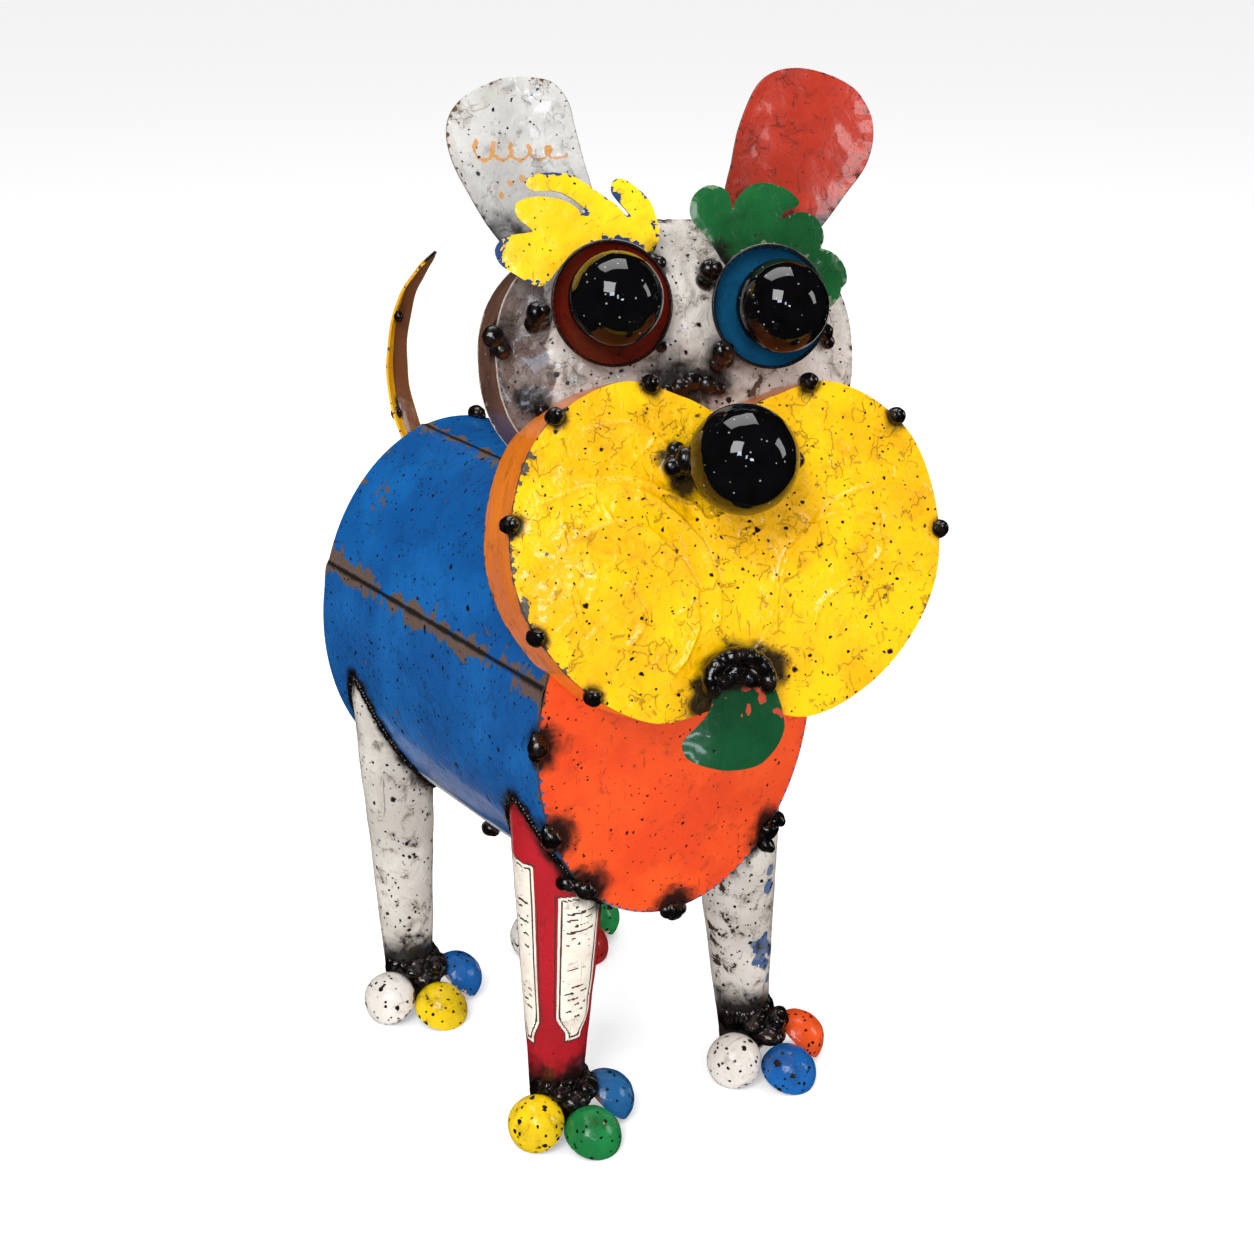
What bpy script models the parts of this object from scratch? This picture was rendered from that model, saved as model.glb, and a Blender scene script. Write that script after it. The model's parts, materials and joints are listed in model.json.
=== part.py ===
"""Scrap metal dog: a standing dog welded together from offcuts of painted steel drums.

Units are metres, Z is up and the dog looks along -Y. Left and right are the dog's own, so its left is +X.
While the pieces are worked out, the chest's front plane is y = 0 and the floor is z = 0. The last step
moves the whole dog so that the middle of the underside of its box stands on the origin.
"""

import math

import bmesh
import bpy
from mathutils import Matrix, Vector

MM = 0.001

# Sheet steel, welds and the gap that touching pieces keep
SHEET = 1.2 * MM
GAP = 0.3 * MM
BEAD_RADIUS = 5.5 * MM

# Body: an oval tube of two sheets, seamed at the top and at the side, closed by a disc at each end
BARREL_HALF_WIDTH = 80 * MM
BARREL_HALF_HEIGHT = 100 * MM
BARREL_LENGTH = 205 * MM
BARREL_AXIS_HEIGHT = 207 * MM
SEAM_DEGREES = (101, 160)
SEAM_HALF_WIDTH = 3 * MM
SEAM_LIFT = 1.3 * MM
DISC_CROWN = 5 * MM
CHEST_BEAD_DEGREES = (176, -156, -133, -92, -47)

# Legs: tapered tubes with a floor, cut at the top to the body's curve
FRONT_LEG_STANCE = 59 * MM
FRONT_LEG_SETBACK = 20 * MM
FRONT_LEG_LEAN = (0.045, 0.02)
FRONT_LEG_TAPER = 0.077
REAR_LEG_STANCE = 60 * MM
REAR_LEG_INSET = 42 * MM
REAR_LEG_LEAN = (0.02, 0.07)
REAR_LEG_TAPER = 0.056
ANKLE_RADIUS = 12 * MM

# Toes: domed caps, open below, fanned in front of each leg
TOE_RADIUS = 14.5 * MM
SIDE_TOE_OFFSET = (20.5 * MM, 15 * MM)
SIDE_TOE_TILT_DEGREES = 44
SIDE_TOE_SPLAY_DEGREES = 26
MIDDLE_TOE_OFFSET = 33 * MM
MIDDLE_TOE_TILT_DEGREES = 24
KNUCKLE_SIZE = (13 * MM, 10 * MM, 10 * MM)

# Two feet are a little out of line: the front left toes stand forward, the rear left foot is tucked in
FRONT_LEFT_TOE_STEP = (-5 * MM, -11 * MM)
REAR_LEFT_TUCK = (-20 * MM, 12 * MM)
REAR_LEFT_TOP_INSET = 19.3 * MM

# Head: its own frame has x to the dog's left, y into the head and z up, from the middle of the muzzle's face.
# That point is given from the middle of the chest
HEAD_OFFSET = (7.2 * MM, -35 * MM, 135.4 * MM)
HEAD_YAW_DEGREES = -17
HEAD_PITCH_DEGREES = 18
HEAD_ROLL_DEGREES = 2
SKULL_CENTRE = (-11 * MM, 50 * MM)
SKULL_HALF_WIDTH = 85.5 * MM
SKULL_HALF_HEIGHT = 61 * MM
SKULL_FRONT = 45 * MM
SKULL_DEPTH = 35 * MM
SKULL_SQUARENESS = 2.4
FACE_CROWN = 13 * MM

# Muzzle: a heart of sheet on a deep band. The half outline runs from the notch under the nose's top to the chin
MUZZLE_CENTRE = (-7 * MM, -38 * MM)
MUZZLE_DEPTH = 48 * MM
MUZZLE_ROLL_DEGREES = -2.5
MUZZLE_HALF_OUTLINE_MM = (
    (0, 58), (20, 66), (46, 73), (72, 63), (91, 42), (100, 6),
    (94, -27), (71, -58), (37, -76), (0, -70),
)
CHEEK_SPREAD = 50 * MM
CHEEK_DROP = 6 * MM
CHEEK_REACH = 27 * MM
CHEEK_LIFT = 5 * MM
MUZZLE_BEAD_DEGREES = (171, 141, 114, 60, 33, 1, -138, -160)

# Nose, eyes, brows, ears, mouth
NOSE_RADIUS = 23 * MM
NOSE_RISE = 38 * MM
NOSE_TAB_SIZE = (9 * MM, 6 * MM, 9 * MM)
NOSE_TAB_OFFSET = 20 * MM
EYE_RADIUS = 21 * MM
EYE_RIM_RADIUS = 28 * MM
EYE_CUP_DEPTH = 10 * MM
EYE_CUP_FLAT = 0.45
RIGHT_EYE = (-48 * MM, 72 * MM)
RIGHT_BALL_SHIFT = (-2 * MM, 1 * MM)
LEFT_EYE = (26 * MM, 68 * MM)
LEFT_BALL_SHIFT = (1 * MM, -1 * MM)
EYE_BEAD_RADIUS = 6 * MM
RIGHT_EYE_BEAD_DEGREES = (184, 36)
LEFT_EYE_BEAD_DEGREES = (143, 221)

# Brows: each lobe is its angle about the eye, its half width in degrees and its reach in millimetres
BROW_BEND = 3 * MM
RIGHT_BROW_CLEARANCE_DEGREES = 14
RIGHT_BROW_SPAN = (
    RIGHT_EYE_BEAD_DEGREES[0] - RIGHT_BROW_CLEARANCE_DEGREES,
    RIGHT_EYE_BEAD_DEGREES[1] + RIGHT_BROW_CLEARANCE_DEGREES,
)
RIGHT_BROW_LOBES = ((153, 17, 55), (132, 11, 56), (117, 13, 62), (96, 12, 51), (80, 12, 53), (61, 15, 46))
LEFT_BROW_CLEARANCE_DEGREES = 13
LEFT_BROW_END_DEGREES = 5
LEFT_BROW_SPAN = (LEFT_EYE_BEAD_DEGREES[0] - LEFT_BROW_CLEARANCE_DEGREES, LEFT_BROW_END_DEGREES)
LEFT_BROW_LOBES = ((117, 16, 60), (88, 20, 55), (61, 17, 46), (26, 20, 41))

# Ears: foot, sideways tilt, half widths at foot and shoulder, height and the squareness of the top
EAR_PLANE = 62 * MM
EAR_HOLLOW = 9 * MM
EAR_ROOT = 14 * MM
EAR_FOOT_HALF_WIDTH = 25 * MM
RIGHT_EAR_FOOT = (-63 * MM, 104 * MM)
RIGHT_EAR_HALF_WIDTH = 30 * MM
RIGHT_EAR_HEIGHT = 76 * MM
RIGHT_EAR = (RIGHT_EAR_FOOT, 19, RIGHT_EAR_HALF_WIDTH, RIGHT_EAR_HEIGHT, 2.6)
LEFT_EAR_FOOT = (41.5 * MM, 106 * MM)
LEFT_EAR_HALF_WIDTH = 34.5 * MM
LEFT_EAR_HEIGHT = 78 * MM
LEFT_EAR = (LEFT_EAR_FOOT, -25, LEFT_EAR_HALF_WIDTH, LEFT_EAR_HEIGHT, 2.7)

# Mouth: a rolled lip over the chin's notch, with the tongue hung from under it
MOUTH_POINT = (-9 * MM, -86 * MM)
LIP_RADIUS = 4.5 * MM
LIP_ARCH = (14 * MM, 11 * MM)
LIP_DROP = 10 * MM
TONGUE_ROOT_DROP = 8 * MM
TONGUE_LENGTH = 41 * MM
TONGUE_HALF_WIDTHS = (12.5 * MM, 24 * MM)
TONGUE_DRIFT = 8 * MM
TONGUE_STAND_OFF = (3 * MM, 8 * MM)

# Tail: the path of its middle in (y, z), measured from the middle of the rump
TAIL_WIDTH = 15 * MM
TAIL_PATH_MM = ((2, 55), (27, 64), (47, 79), (59, 103), (58, 130), (45, 158), (27, 175), (10, 186))
TAIL_TROUGH = 6 * MM

# Paint: sRGB colour, roughness, metallic
PAINTS = {
    "blue_enamel": ("#0F5FA6", 0.35, 0.1),
    "orange_enamel": ("#EC5310", 0.4, 0.1),
    "light_orange_enamel": ("#E88A1C", 0.4, 0.1),
    "yellow_enamel": ("#F6CB0A", 0.38, 0.1),
    "cream_enamel": ("#E4DCD2", 0.45, 0.1),
    "red_enamel": ("#B4221C", 0.38, 0.1),
    "green_enamel": ("#1E7A3E", 0.38, 0.1),
    "teal_enamel": ("#1C5E80", 0.35, 0.1),
    "maroon_enamel": ("#6E1D14", 0.35, 0.1),
    "brown_steel": ("#6A4A3A", 0.5, 0.5),
    "black_gloss": ("#0A0808", 0.08, 0.2),
    "weld_steel": ("#1C1714", 0.35, 0.8),
}


def linear(channel):
    """One sRGB channel, 0 to 1, as linear light."""
    return channel / 12.92 if channel <= 0.04045 else ((channel + 0.055) / 1.055) ** 2.4


def paint(name):
    """The material of this name, made on first use."""
    found = bpy.data.materials.get(name)
    if found:
        return found
    code, roughness, metallic = PAINTS[name]
    made = bpy.data.materials.new(name)
    made.use_nodes = True
    shader = made.node_tree.nodes["Principled BSDF"]
    channels = [linear(int(code[i : i + 2], 16) / 255) for i in (1, 3, 5)]
    shader.inputs["Base Color"].default_value = (*channels, 1)
    shader.inputs["Roughness"].default_value = roughness
    shader.inputs["Metallic"].default_value = metallic
    return made


def clear_scene():
    for old in list(bpy.data.objects):
        bpy.data.objects.remove(old, do_unlink=True)


def empty(name, parent=None):
    made = bpy.data.objects.new(name, None)
    bpy.context.scene.collection.objects.link(made)
    made.parent = parent
    return made


def add_object(name, shape, parent, material=None):
    """Turns a finished bmesh into an object. With no material it is a cutter."""
    bmesh.ops.recalc_face_normals(shape, faces=shape.faces)
    mesh = bpy.data.meshes.new(name)
    shape.to_mesh(mesh)
    shape.free()
    mesh.shade_smooth()
    mesh.set_sharp_from_angle(angle=math.radians(35))
    made = bpy.data.objects.new(name, mesh)
    bpy.context.scene.collection.objects.link(made)
    made.parent = parent
    if material:
        mesh.materials.append(paint(material))
    else:
        made.hide_render = True
        made.display_type = "WIRE"
    return made


def cut(target, *cutters):
    for cutter in cutters:
        step = target.modifiers.new("cut_" + cutter.name, "BOOLEAN")
        step.operation = "DIFFERENCE"
        step.object = cutter


def loft(rings, wrap=False):
    """A closed surface through rings of points. A ring of one point is a pole, and wrap joins last to first."""
    shape = bmesh.new()
    rows = [[shape.verts.new(point) for point in ring] for ring in rings]
    pairs = list(zip(rows, rows[1:]))
    if wrap:
        pairs.append((rows[-1], rows[0]))
    for first, second in pairs:
        count = max(len(first), len(second))
        for i in range(count):
            j = (i + 1) % count
            if len(first) == 1:
                shape.faces.new((first[0], second[i], second[j]))
            elif len(second) == 1:
                shape.faces.new((first[i], second[0], first[j]))
            else:
                shape.faces.new((first[i], second[i], second[j], first[j]))
    return shape


def slab(front, thickness=SHEET):
    """A sheet of even thickness behind a grid of points."""
    rows, columns = len(front), len(front[0])
    back = []
    for r in range(rows):
        line = []
        for c in range(columns):
            along = front[min(r + 1, rows - 1)][c] - front[max(r - 1, 0)][c]
            across = front[r][min(c + 1, columns - 1)] - front[r][max(c - 1, 0)]
            line.append(front[r][c] + along.cross(across).normalized() * thickness)
        back.append(line)
    shape = bmesh.new()
    sides = [[[shape.verts.new(point) for point in line] for line in grid] for grid in (front, back)]
    for grid in sides:
        for r in range(rows - 1):
            for c in range(columns - 1):
                shape.faces.new((grid[r][c], grid[r + 1][c], grid[r + 1][c + 1], grid[r][c + 1]))
    edge = [(0, c) for c in range(columns)] + [(r, columns - 1) for r in range(1, rows)]
    edge += [(rows - 1, c) for c in range(columns - 2, -1, -1)] + [(r, 0) for r in range(rows - 2, 0, -1)]
    for (r0, c0), (r1, c1) in zip(edge, edge[1:] + edge[:1]):
        shape.faces.new((sides[0][r0][c0], sides[0][r1][c1], sides[1][r1][c1], sides[1][r0][c0]))
    return shape


def superellipse(angle, half_width, half_height, power=2.0):
    c, s = math.cos(angle), math.sin(angle)
    reach = (abs(c) ** power + abs(s) ** power) ** (-1 / power)
    return half_width * reach * c, half_height * reach * s


def smooth_path(points, steps):
    """Points along a Catmull-Rom curve through the given points, steps for each stretch."""
    ends = [points[0] * 2 - points[1], *points, points[-1] * 2 - points[-2]]
    path = []
    for p0, p1, p2, p3 in zip(ends, ends[1:], ends[2:], ends[3:]):
        for i in range(steps):
            t = i / steps
            path.append(
                (p1 * 2 + (p2 - p0) * t + (p0 * 2 - p1 * 5 + p2 * 4 - p3) * t**2
                 + (p1 * 3 - p0 - p2 * 3 + p3) * t**3) * 0.5
            )
    return path + [points[-1]]


def ball(centre, size, columns=12, rows=7):
    """An ellipsoid with its poles up and down. size holds its three radii."""
    centre = Vector(centre)
    rings = [[centre + Vector((0, 0, size[2]))]]
    for r in range(1, rows):
        lift, reach = math.cos(math.pi * r / rows), math.sin(math.pi * r / rows)
        turns = [2 * math.pi * c / columns for c in range(columns)]
        rings.append([
            centre + Vector((size[0] * reach * math.cos(t), size[1] * reach * math.sin(t), size[2] * lift))
            for t in turns
        ])
    rings.append([centre - Vector((0, 0, size[2]))])
    return loft(rings)


def domed_solid(outline, centre, rings, front, back):
    """A solid inside an outline of (x, z) points. front and back give y at a share of the way out and a point."""
    shares = [k / rings for k in range(1, rings + 1)]

    def ring(share, face):
        points = []
        for x, z in outline:
            px, pz = centre[0] + (x - centre[0]) * share, centre[1] + (z - centre[1]) * share
            points.append(Vector((px, face(share, px, pz), pz)))
        return points

    front_rings = [ring(share, front) for share in shares]
    back_rings = [ring(share, back) for share in reversed(shares)]
    poles = [[Vector((centre[0], face(0, *centre), centre[1]))] for face in (front, back)]
    return loft([poles[0], *front_rings, *back_rings, poles[1]])


def domed_plate(outline, centre, rings, front):
    """A sheet of even thickness inside an outline."""
    return domed_solid(outline, centre, rings, front, lambda *place: front(*place) + SHEET)


def band(outer, inner, front, back):
    """A hoop of sheet between two matching outlines, open at both ends."""
    rings = [
        [Vector((x, y, z)) for x, z in outline]
        for outline, y in ((outer, front), (outer, back), (inner, back), (inner, front))
    ]
    return loft(rings, wrap=True)


def prism(outline, front, back):
    """A solid of this outline, for cutting what must clear a hoop."""
    middle = Vector((sum(x for x, _ in outline), 0, sum(z for _, z in outline))) / len(outline)
    caps = [[middle + Vector((0, y, 0))] for y in (front, back)]
    rings = [[Vector((x, y, z)) for x, z in outline] for y in (front, back)]
    return loft([caps[0], *rings, caps[1]])


def barrel_outline(offset=0.0, seams=False):
    """The body's oval in (x, z), with points either side of each seam so that it can stand proud."""
    angles = [2 * math.pi * i / 36 for i in range(36)]
    if seams:
        half = SEAM_HALF_WIDTH / BARREL_HALF_WIDTH
        for degrees in SEAM_DEGREES:
            seam = math.radians(degrees)
            angles = [a for a in angles if abs(a - seam) > 1.6 * half]
            angles += [seam - half, seam, seam + half]
    points = []
    for angle in sorted(angles):
        lift = offset
        if seams and any(abs(angle - math.radians(d)) < 1e-6 for d in SEAM_DEGREES):
            lift += SEAM_LIFT
        x, z = superellipse(angle, BARREL_HALF_WIDTH + lift, BARREL_HALF_HEIGHT + lift)
        points.append((x, z + BARREL_AXIS_HEIGHT))
    return points


def make_body(dog):
    """The barrel and its two end discs. Returns the solid envelope that other pieces are cut to."""
    shell = band(barrel_outline(seams=True), barrel_outline(-SHEET, seams=True), 0, BARREL_LENGTH)
    add_object("barrel_shell", shell, dog, "blue_enamel")
    centre = (0, BARREL_AXIS_HEIGHT)
    reach = SHEET + GAP

    def chest_face(share, _x, _z):
        return -reach - DISC_CROWN * (1 - share**2)

    def rump_face(share, _x, _z):
        return BARREL_LENGTH + GAP + DISC_CROWN * (1 - share**2)

    outline = barrel_outline()
    add_object("chest_disc", domed_plate(outline, centre, 2, chest_face), dog, "orange_enamel")
    add_object("rump_disc", domed_plate(outline, centre, 2, rump_face), dog, "light_orange_enamel")
    shape = domed_solid(
        barrel_outline(GAP + SEAM_LIFT), centre, 2,
        lambda *place: chest_face(*place) - GAP, lambda *place: rump_face(*place) + SHEET + GAP,
    )
    envelope = add_object("body_envelope", shape, dog)
    margin = 3 * ANKLE_RADIUS
    bore = add_object("leg_trim", prism(barrel_outline(GAP), -margin, BARREL_LENGTH + margin), dog)
    return envelope, bore


def make_chest_beads(dog, body_envelope, leg_solids):
    """Beads of weld that straddle the rim of the chest disc."""
    for number, degrees in enumerate(CHEST_BEAD_DEGREES, start=1):
        x, z = superellipse(math.radians(degrees), BARREL_HALF_WIDTH, BARREL_HALF_HEIGHT)
        shape = ball((x, -SHEET - GAP, z + BARREL_AXIS_HEIGHT), (BEAD_RADIUS,) * 3, 7, 4)
        bead = add_object(f"chest_bead_{number}", shape, dog, "weld_steel")
        cut(bead, body_envelope, *leg_solids)


def leg_shape(foot, lean, taper, top, offset=0.0, hollow=True):
    """A tapered tube from the floor up. lean is the sideways move for each metre of height."""
    def ring(height, radius):
        centre = Vector((foot[0] + lean[0] * height, foot[1] + lean[1] * height, height))
        turns = [2 * math.pi * i / 20 for i in range(20)]
        return [centre + Vector((radius * math.cos(t), radius * math.sin(t), 0)) for t in turns]

    foot_radius, top_radius = ANKLE_RADIUS + offset, ANKLE_RADIUS + taper * top + offset
    low = Vector((foot[0], foot[1], -offset))
    sole = [point - Vector((0, 0, offset)) for point in ring(0, foot_radius)]
    if not hollow:
        cap = [Vector((foot[0] + lean[0] * top, foot[1] + lean[1] * top, top))]
        return loft([[low], sole, ring(top, top_radius), cap])
    floor = Vector((foot[0], foot[1], SHEET))
    inside = [ring(top, top_radius - SHEET), ring(SHEET, foot_radius - SHEET)]
    return loft([[low], sole, ring(top, top_radius), *inside, [floor]])


def toe_axis(side):
    """The way a toe's dome points: side is -1, 0 or 1 for the right, middle and left toe."""
    tilt = math.radians(SIDE_TOE_TILT_DEGREES if side else MIDDLE_TOE_TILT_DEGREES)
    turn = math.radians(SIDE_TOE_SPLAY_DEGREES)
    flat = Vector((side * math.cos(turn), -math.sin(turn), 0)) if side else Vector((0, -1, 0))
    return flat * math.sin(tilt) + Vector((0, 0, math.cos(tilt))), TOE_RADIUS * math.sin(tilt)


def toe_place(foot, side):
    axis, height = toe_axis(side)
    if side:
        return Vector((foot[0] + side * SIDE_TOE_OFFSET[0], foot[1] - SIDE_TOE_OFFSET[1], height)), axis
    return Vector((foot[0], foot[1] - MIDDLE_TOE_OFFSET, height)), axis


def toe_shape(centre, axis):
    """A dome cap of sheet, open on the side away from its axis."""
    turn = Vector((0, 0, 1)).rotation_difference(axis)
    columns, rows = 10, 3

    def ring(radius, step):
        lift = math.pi / 2 * step / rows
        turns = [2 * math.pi * c / columns for c in range(columns)]
        return [
            centre + turn @ Vector((
                radius * math.cos(lift) * math.cos(t), radius * math.cos(lift) * math.sin(t),
                radius * math.sin(lift),
            ))
            for t in turns
        ]

    inside = TOE_RADIUS - SHEET
    rings = [[centre + axis * inside]] + [ring(inside, step) for step in range(rows - 1, -1, -1)]
    rings += [ring(TOE_RADIUS, step) for step in range(rows)] + [[centre + axis * TOE_RADIUS]]
    return loft(rings)


def make_leg(dog, name, colours, foot, lean, taper, bore, toe_step=(0, 0)):
    """One leg with its three toes and the knot of weld that joins them."""
    top = BARREL_AXIS_HEIGHT
    leg = add_object("leg_" + name, leg_shape(foot, lean, taper, top), dog, colours[0])
    cut(leg, bore)
    leg_solid = add_object("leg_solid_" + name, leg_shape(foot, lean, taper, top, GAP, hollow=False), dog)
    trims = [leg_solid]
    toe_root = (foot[0] + toe_step[0], foot[1] + toe_step[1])
    for side, label, colour in zip((-1, 0, 1), ("right", "middle", "left"), colours[1:]):
        centre, axis = toe_place(toe_root, side)
        add_object(f"toe_{name}_{label}", toe_shape(centre, axis), dog, colour)
        size = (TOE_RADIUS + 2 * GAP,) * 3
        trims.append(add_object(f"toe_solid_{name}_{label}", ball(centre, size, 14, 8), dog))
    middle = (Vector((*foot, 0)) + Vector((*toe_root, 0))) / 2
    reach = ANKLE_RADIUS + KNUCKLE_SIZE[1] / 2
    knot = Vector((middle.x, middle.y - reach, TOE_RADIUS + KNUCKLE_SIZE[2] / 2))
    size = (KNUCKLE_SIZE[0], KNUCKLE_SIZE[1] - toe_step[1] / 2, KNUCKLE_SIZE[2])
    knuckle = add_object("foot_weld_" + name, ball(knot, size, 7, 5), dog, "weld_steel")
    cut(knuckle, *trims)
    return leg_solid


def make_legs(dog, bore):
    """The four legs. Returns solids that clear the two front ones."""
    colours = {
        "front_right": ("red_enamel", "yellow_enamel", "green_enamel", "teal_enamel"),
        "front_left": ("cream_enamel", "cream_enamel", "blue_enamel", "orange_enamel"),
        "rear_right": ("cream_enamel", "cream_enamel", "yellow_enamel", "blue_enamel"),
        "rear_left": ("cream_enamel", "cream_enamel", "red_enamel", "green_enamel"),
    }
    front_solids = []
    for name, paints in colours.items():
        side = -1 if name.endswith("right") else 1
        if name.startswith("front"):
            foot = (side * FRONT_LEG_STANCE, FRONT_LEG_SETBACK)
            lean, taper = FRONT_LEG_LEAN, FRONT_LEG_TAPER
        else:
            foot = (side * REAR_LEG_STANCE, BARREL_LENGTH - REAR_LEG_INSET)
            lean, taper = REAR_LEG_LEAN, REAR_LEG_TAPER
        lean, step = (-side * lean[0], lean[1]), (0, 0)
        if name == "front_left":
            step = FRONT_LEFT_TOE_STEP
        if name == "rear_left":
            foot = (foot[0] + REAR_LEFT_TUCK[0], foot[1] + REAR_LEFT_TUCK[1])
            top_x = BARREL_HALF_WIDTH - REAR_LEFT_TOP_INSET
            lean = ((top_x - foot[0]) / BARREL_AXIS_HEIGHT, 0.0)
        solid = make_leg(dog, name, paints, foot, lean, taper, bore, step)
        if name.startswith("front"):
            front_solids.append(solid)
    return front_solids


def face_depth(x, z):
    """The y of the domed face at a point, in the head's frame."""
    dx, dz = (x - SKULL_CENTRE[0]) / SKULL_HALF_WIDTH, (z - SKULL_CENTRE[1]) / SKULL_HALF_HEIGHT
    share = (abs(dx) ** SKULL_SQUARENESS + abs(dz) ** SKULL_SQUARENESS) ** (1 / SKULL_SQUARENESS)
    return SKULL_FRONT - SHEET - GAP - FACE_CROWN * (1 - share**2)


def skull_outline(offset=0.0):
    points = []
    for i in range(36):
        x, z = superellipse(
            2 * math.pi * i / 36, SKULL_HALF_WIDTH + offset, SKULL_HALF_HEIGHT + offset, SKULL_SQUARENESS
        )
        points.append((x + SKULL_CENTRE[0], z + SKULL_CENTRE[1]))
    return points


def make_skull(head, body_envelope):
    """The face, its band and the back of the head. Returns the solid envelope of the three."""
    back_plane = SKULL_FRONT + SKULL_DEPTH

    def face(_share, x, z):
        return face_depth(x, z)

    def nape(share, _x, _z):
        return back_plane + GAP + DISC_CROWN * (1 - share**2)

    outline = skull_outline()
    hoop = band(outline, skull_outline(-SHEET), SKULL_FRONT, back_plane)
    pieces = [
        add_object("head_band", hoop, head, "brown_steel"),
        add_object("face_plate", domed_plate(outline, SKULL_CENTRE, 3, face), head, "cream_enamel"),
        add_object("head_back", domed_plate(outline, SKULL_CENTRE, 2, nape), head, "brown_steel"),
    ]
    for piece in pieces:
        cut(piece, body_envelope)

    solid = domed_solid(
        skull_outline(GAP), SKULL_CENTRE, 3,
        lambda *place: face(*place) - GAP, lambda *place: nape(*place) + SHEET + GAP,
    )
    return add_object("skull_envelope", solid, head)


def muzzle_outline(offset=0.0):
    """The heart outline in (x, z), mirrored, stepped out by an offset and rolled a little."""
    half = [Vector((x, 0, z)) * MM for x, z in MUZZLE_HALF_OUTLINE_MM]
    mirrored = [Vector((-p.x, 0, p.z)) for p in half[-2:0:-1]]
    loop = half + mirrored
    padded = [*loop, loop[0]]
    steps = 2
    curve = smooth_path([loop[-1], *padded, loop[1]], steps)[steps : -steps - 1]
    roll = Matrix.Rotation(math.radians(-MUZZLE_ROLL_DEGREES), 3, "Y")
    points = []
    for before, point, after in zip([curve[-1], *curve], curve, [*curve[1:], curve[0]]):
        way = (after - before).normalized()
        turned = roll @ (point + Vector((-way.z, 0, way.x)) * offset)
        points.append((MUZZLE_CENTRE[0] + turned.x, MUZZLE_CENTRE[1] + turned.z))
    return points


def muzzle_face(_share, x, z):
    """The y of the muzzle's front at a point: two hammered cheeks stand out of a flat sheet."""
    lift = 0.0
    for side in (-1, 1):
        dx = x - MUZZLE_CENTRE[0] - side * CHEEK_SPREAD
        dz = z - MUZZLE_CENTRE[1] + CHEEK_DROP
        lift += CHEEK_LIFT * math.exp(-(dx * dx + dz * dz) / (2 * CHEEK_REACH**2))
    return -lift


def make_muzzle(head, body_envelope, skull_envelope):
    outline = muzzle_outline()
    plate = domed_plate(outline, MUZZLE_CENTRE, 4, muzzle_face)
    add_object("muzzle_plate", plate, head, "yellow_enamel")
    front = SHEET + GAP
    hoop = add_object(
        "muzzle_band", band(outline, muzzle_outline(-SHEET), front, MUZZLE_DEPTH), head, "light_orange_enamel"
    )
    cut(hoop, skull_envelope, body_envelope)
    solid = domed_solid(
        muzzle_outline(GAP), MUZZLE_CENTRE, 4,
        lambda *place: muzzle_face(*place) - GAP, lambda *_place: MUZZLE_DEPTH,
    )
    muzzle_solid = add_object("muzzle_solid", solid, head)
    for number, degrees in enumerate(MUZZLE_BEAD_DEGREES, start=1):
        angle = math.radians(degrees)
        x, z = min(outline, key=lambda p: abs(math.remainder(
            math.atan2(p[1] - MUZZLE_CENTRE[1], p[0] - MUZZLE_CENTRE[0]) - angle, 2 * math.pi)))
        shape = ball((x, 0, z), (BEAD_RADIUS,) * 3, 7, 4)
        bead = add_object(f"muzzle_bead_{number}", shape, head, "weld_steel")
        cut(bead, muzzle_solid, skull_envelope)


def make_nose(head):
    x, z = MUZZLE_CENTRE[0], MUZZLE_CENTRE[1] + NOSE_RISE
    plate = muzzle_face(0, x, z) - GAP
    centre = (x, plate - NOSE_RADIUS, z)
    add_object("nose_ball", ball(centre, (NOSE_RADIUS,) * 3, 16, 9), head, "black_gloss")
    clearance = add_object("nose_solid", ball(centre, (NOSE_RADIUS + 2 * GAP,) * 3, 16, 10), head)
    for side, label in ((-1, "right"), (1, "left")):
        tab_x = x + side * NOSE_TAB_OFFSET
        tab_y = muzzle_face(0, tab_x, z) - 2 * GAP - NOSE_TAB_SIZE[1]
        shape = ball((tab_x, tab_y, z), NOSE_TAB_SIZE, 8, 5)
        cut(add_object("nose_tab_" + label, shape, head, "weld_steel"), clearance)


def make_eye(head, label, centre, ball_shift, colour):
    """A shallow cup, seated on the domed face, with a ball lying in it. Returns the y of the cup's rim."""
    columns = 20
    turns = [2 * math.pi * i / columns for i in range(columns)]

    def ring(radius, y):
        return [Vector((centre[0] + radius * math.cos(t), y, centre[1] + radius * math.sin(t))) for t in turns]

    seat = min(face_depth(p.x, p.z) for p in ring(EYE_RIM_RADIUS * EYE_CUP_FLAT, 0)) - 2 * GAP
    bottom = seat - SHEET
    rim = bottom - EYE_CUP_DEPTH
    levels = ((1.0, 0.0), (0.8, 0.72), (EYE_CUP_FLAT, 1.0))
    inner = [ring(EYE_RIM_RADIUS * share - SHEET, rim + EYE_CUP_DEPTH * deep) for share, deep in levels]
    outer = [ring(EYE_RIM_RADIUS * share, rim + (EYE_CUP_DEPTH + SHEET) * deep) for share, deep in levels]
    inner_pole = [Vector((centre[0], bottom, centre[1]))]
    outer_pole = [Vector((centre[0], bottom + SHEET, centre[1]))]
    shape = loft([inner_pole, *reversed(inner), *outer, outer_pole])
    add_object("eye_cup_" + label, shape, head, colour)
    ball_centre = (centre[0] + ball_shift[0], bottom - GAP - EYE_RADIUS, centre[1] + ball_shift[1])
    add_object("eye_ball_" + label, ball(ball_centre, (EYE_RADIUS,) * 3, 14, 9), head, "black_gloss")
    return rim


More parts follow.
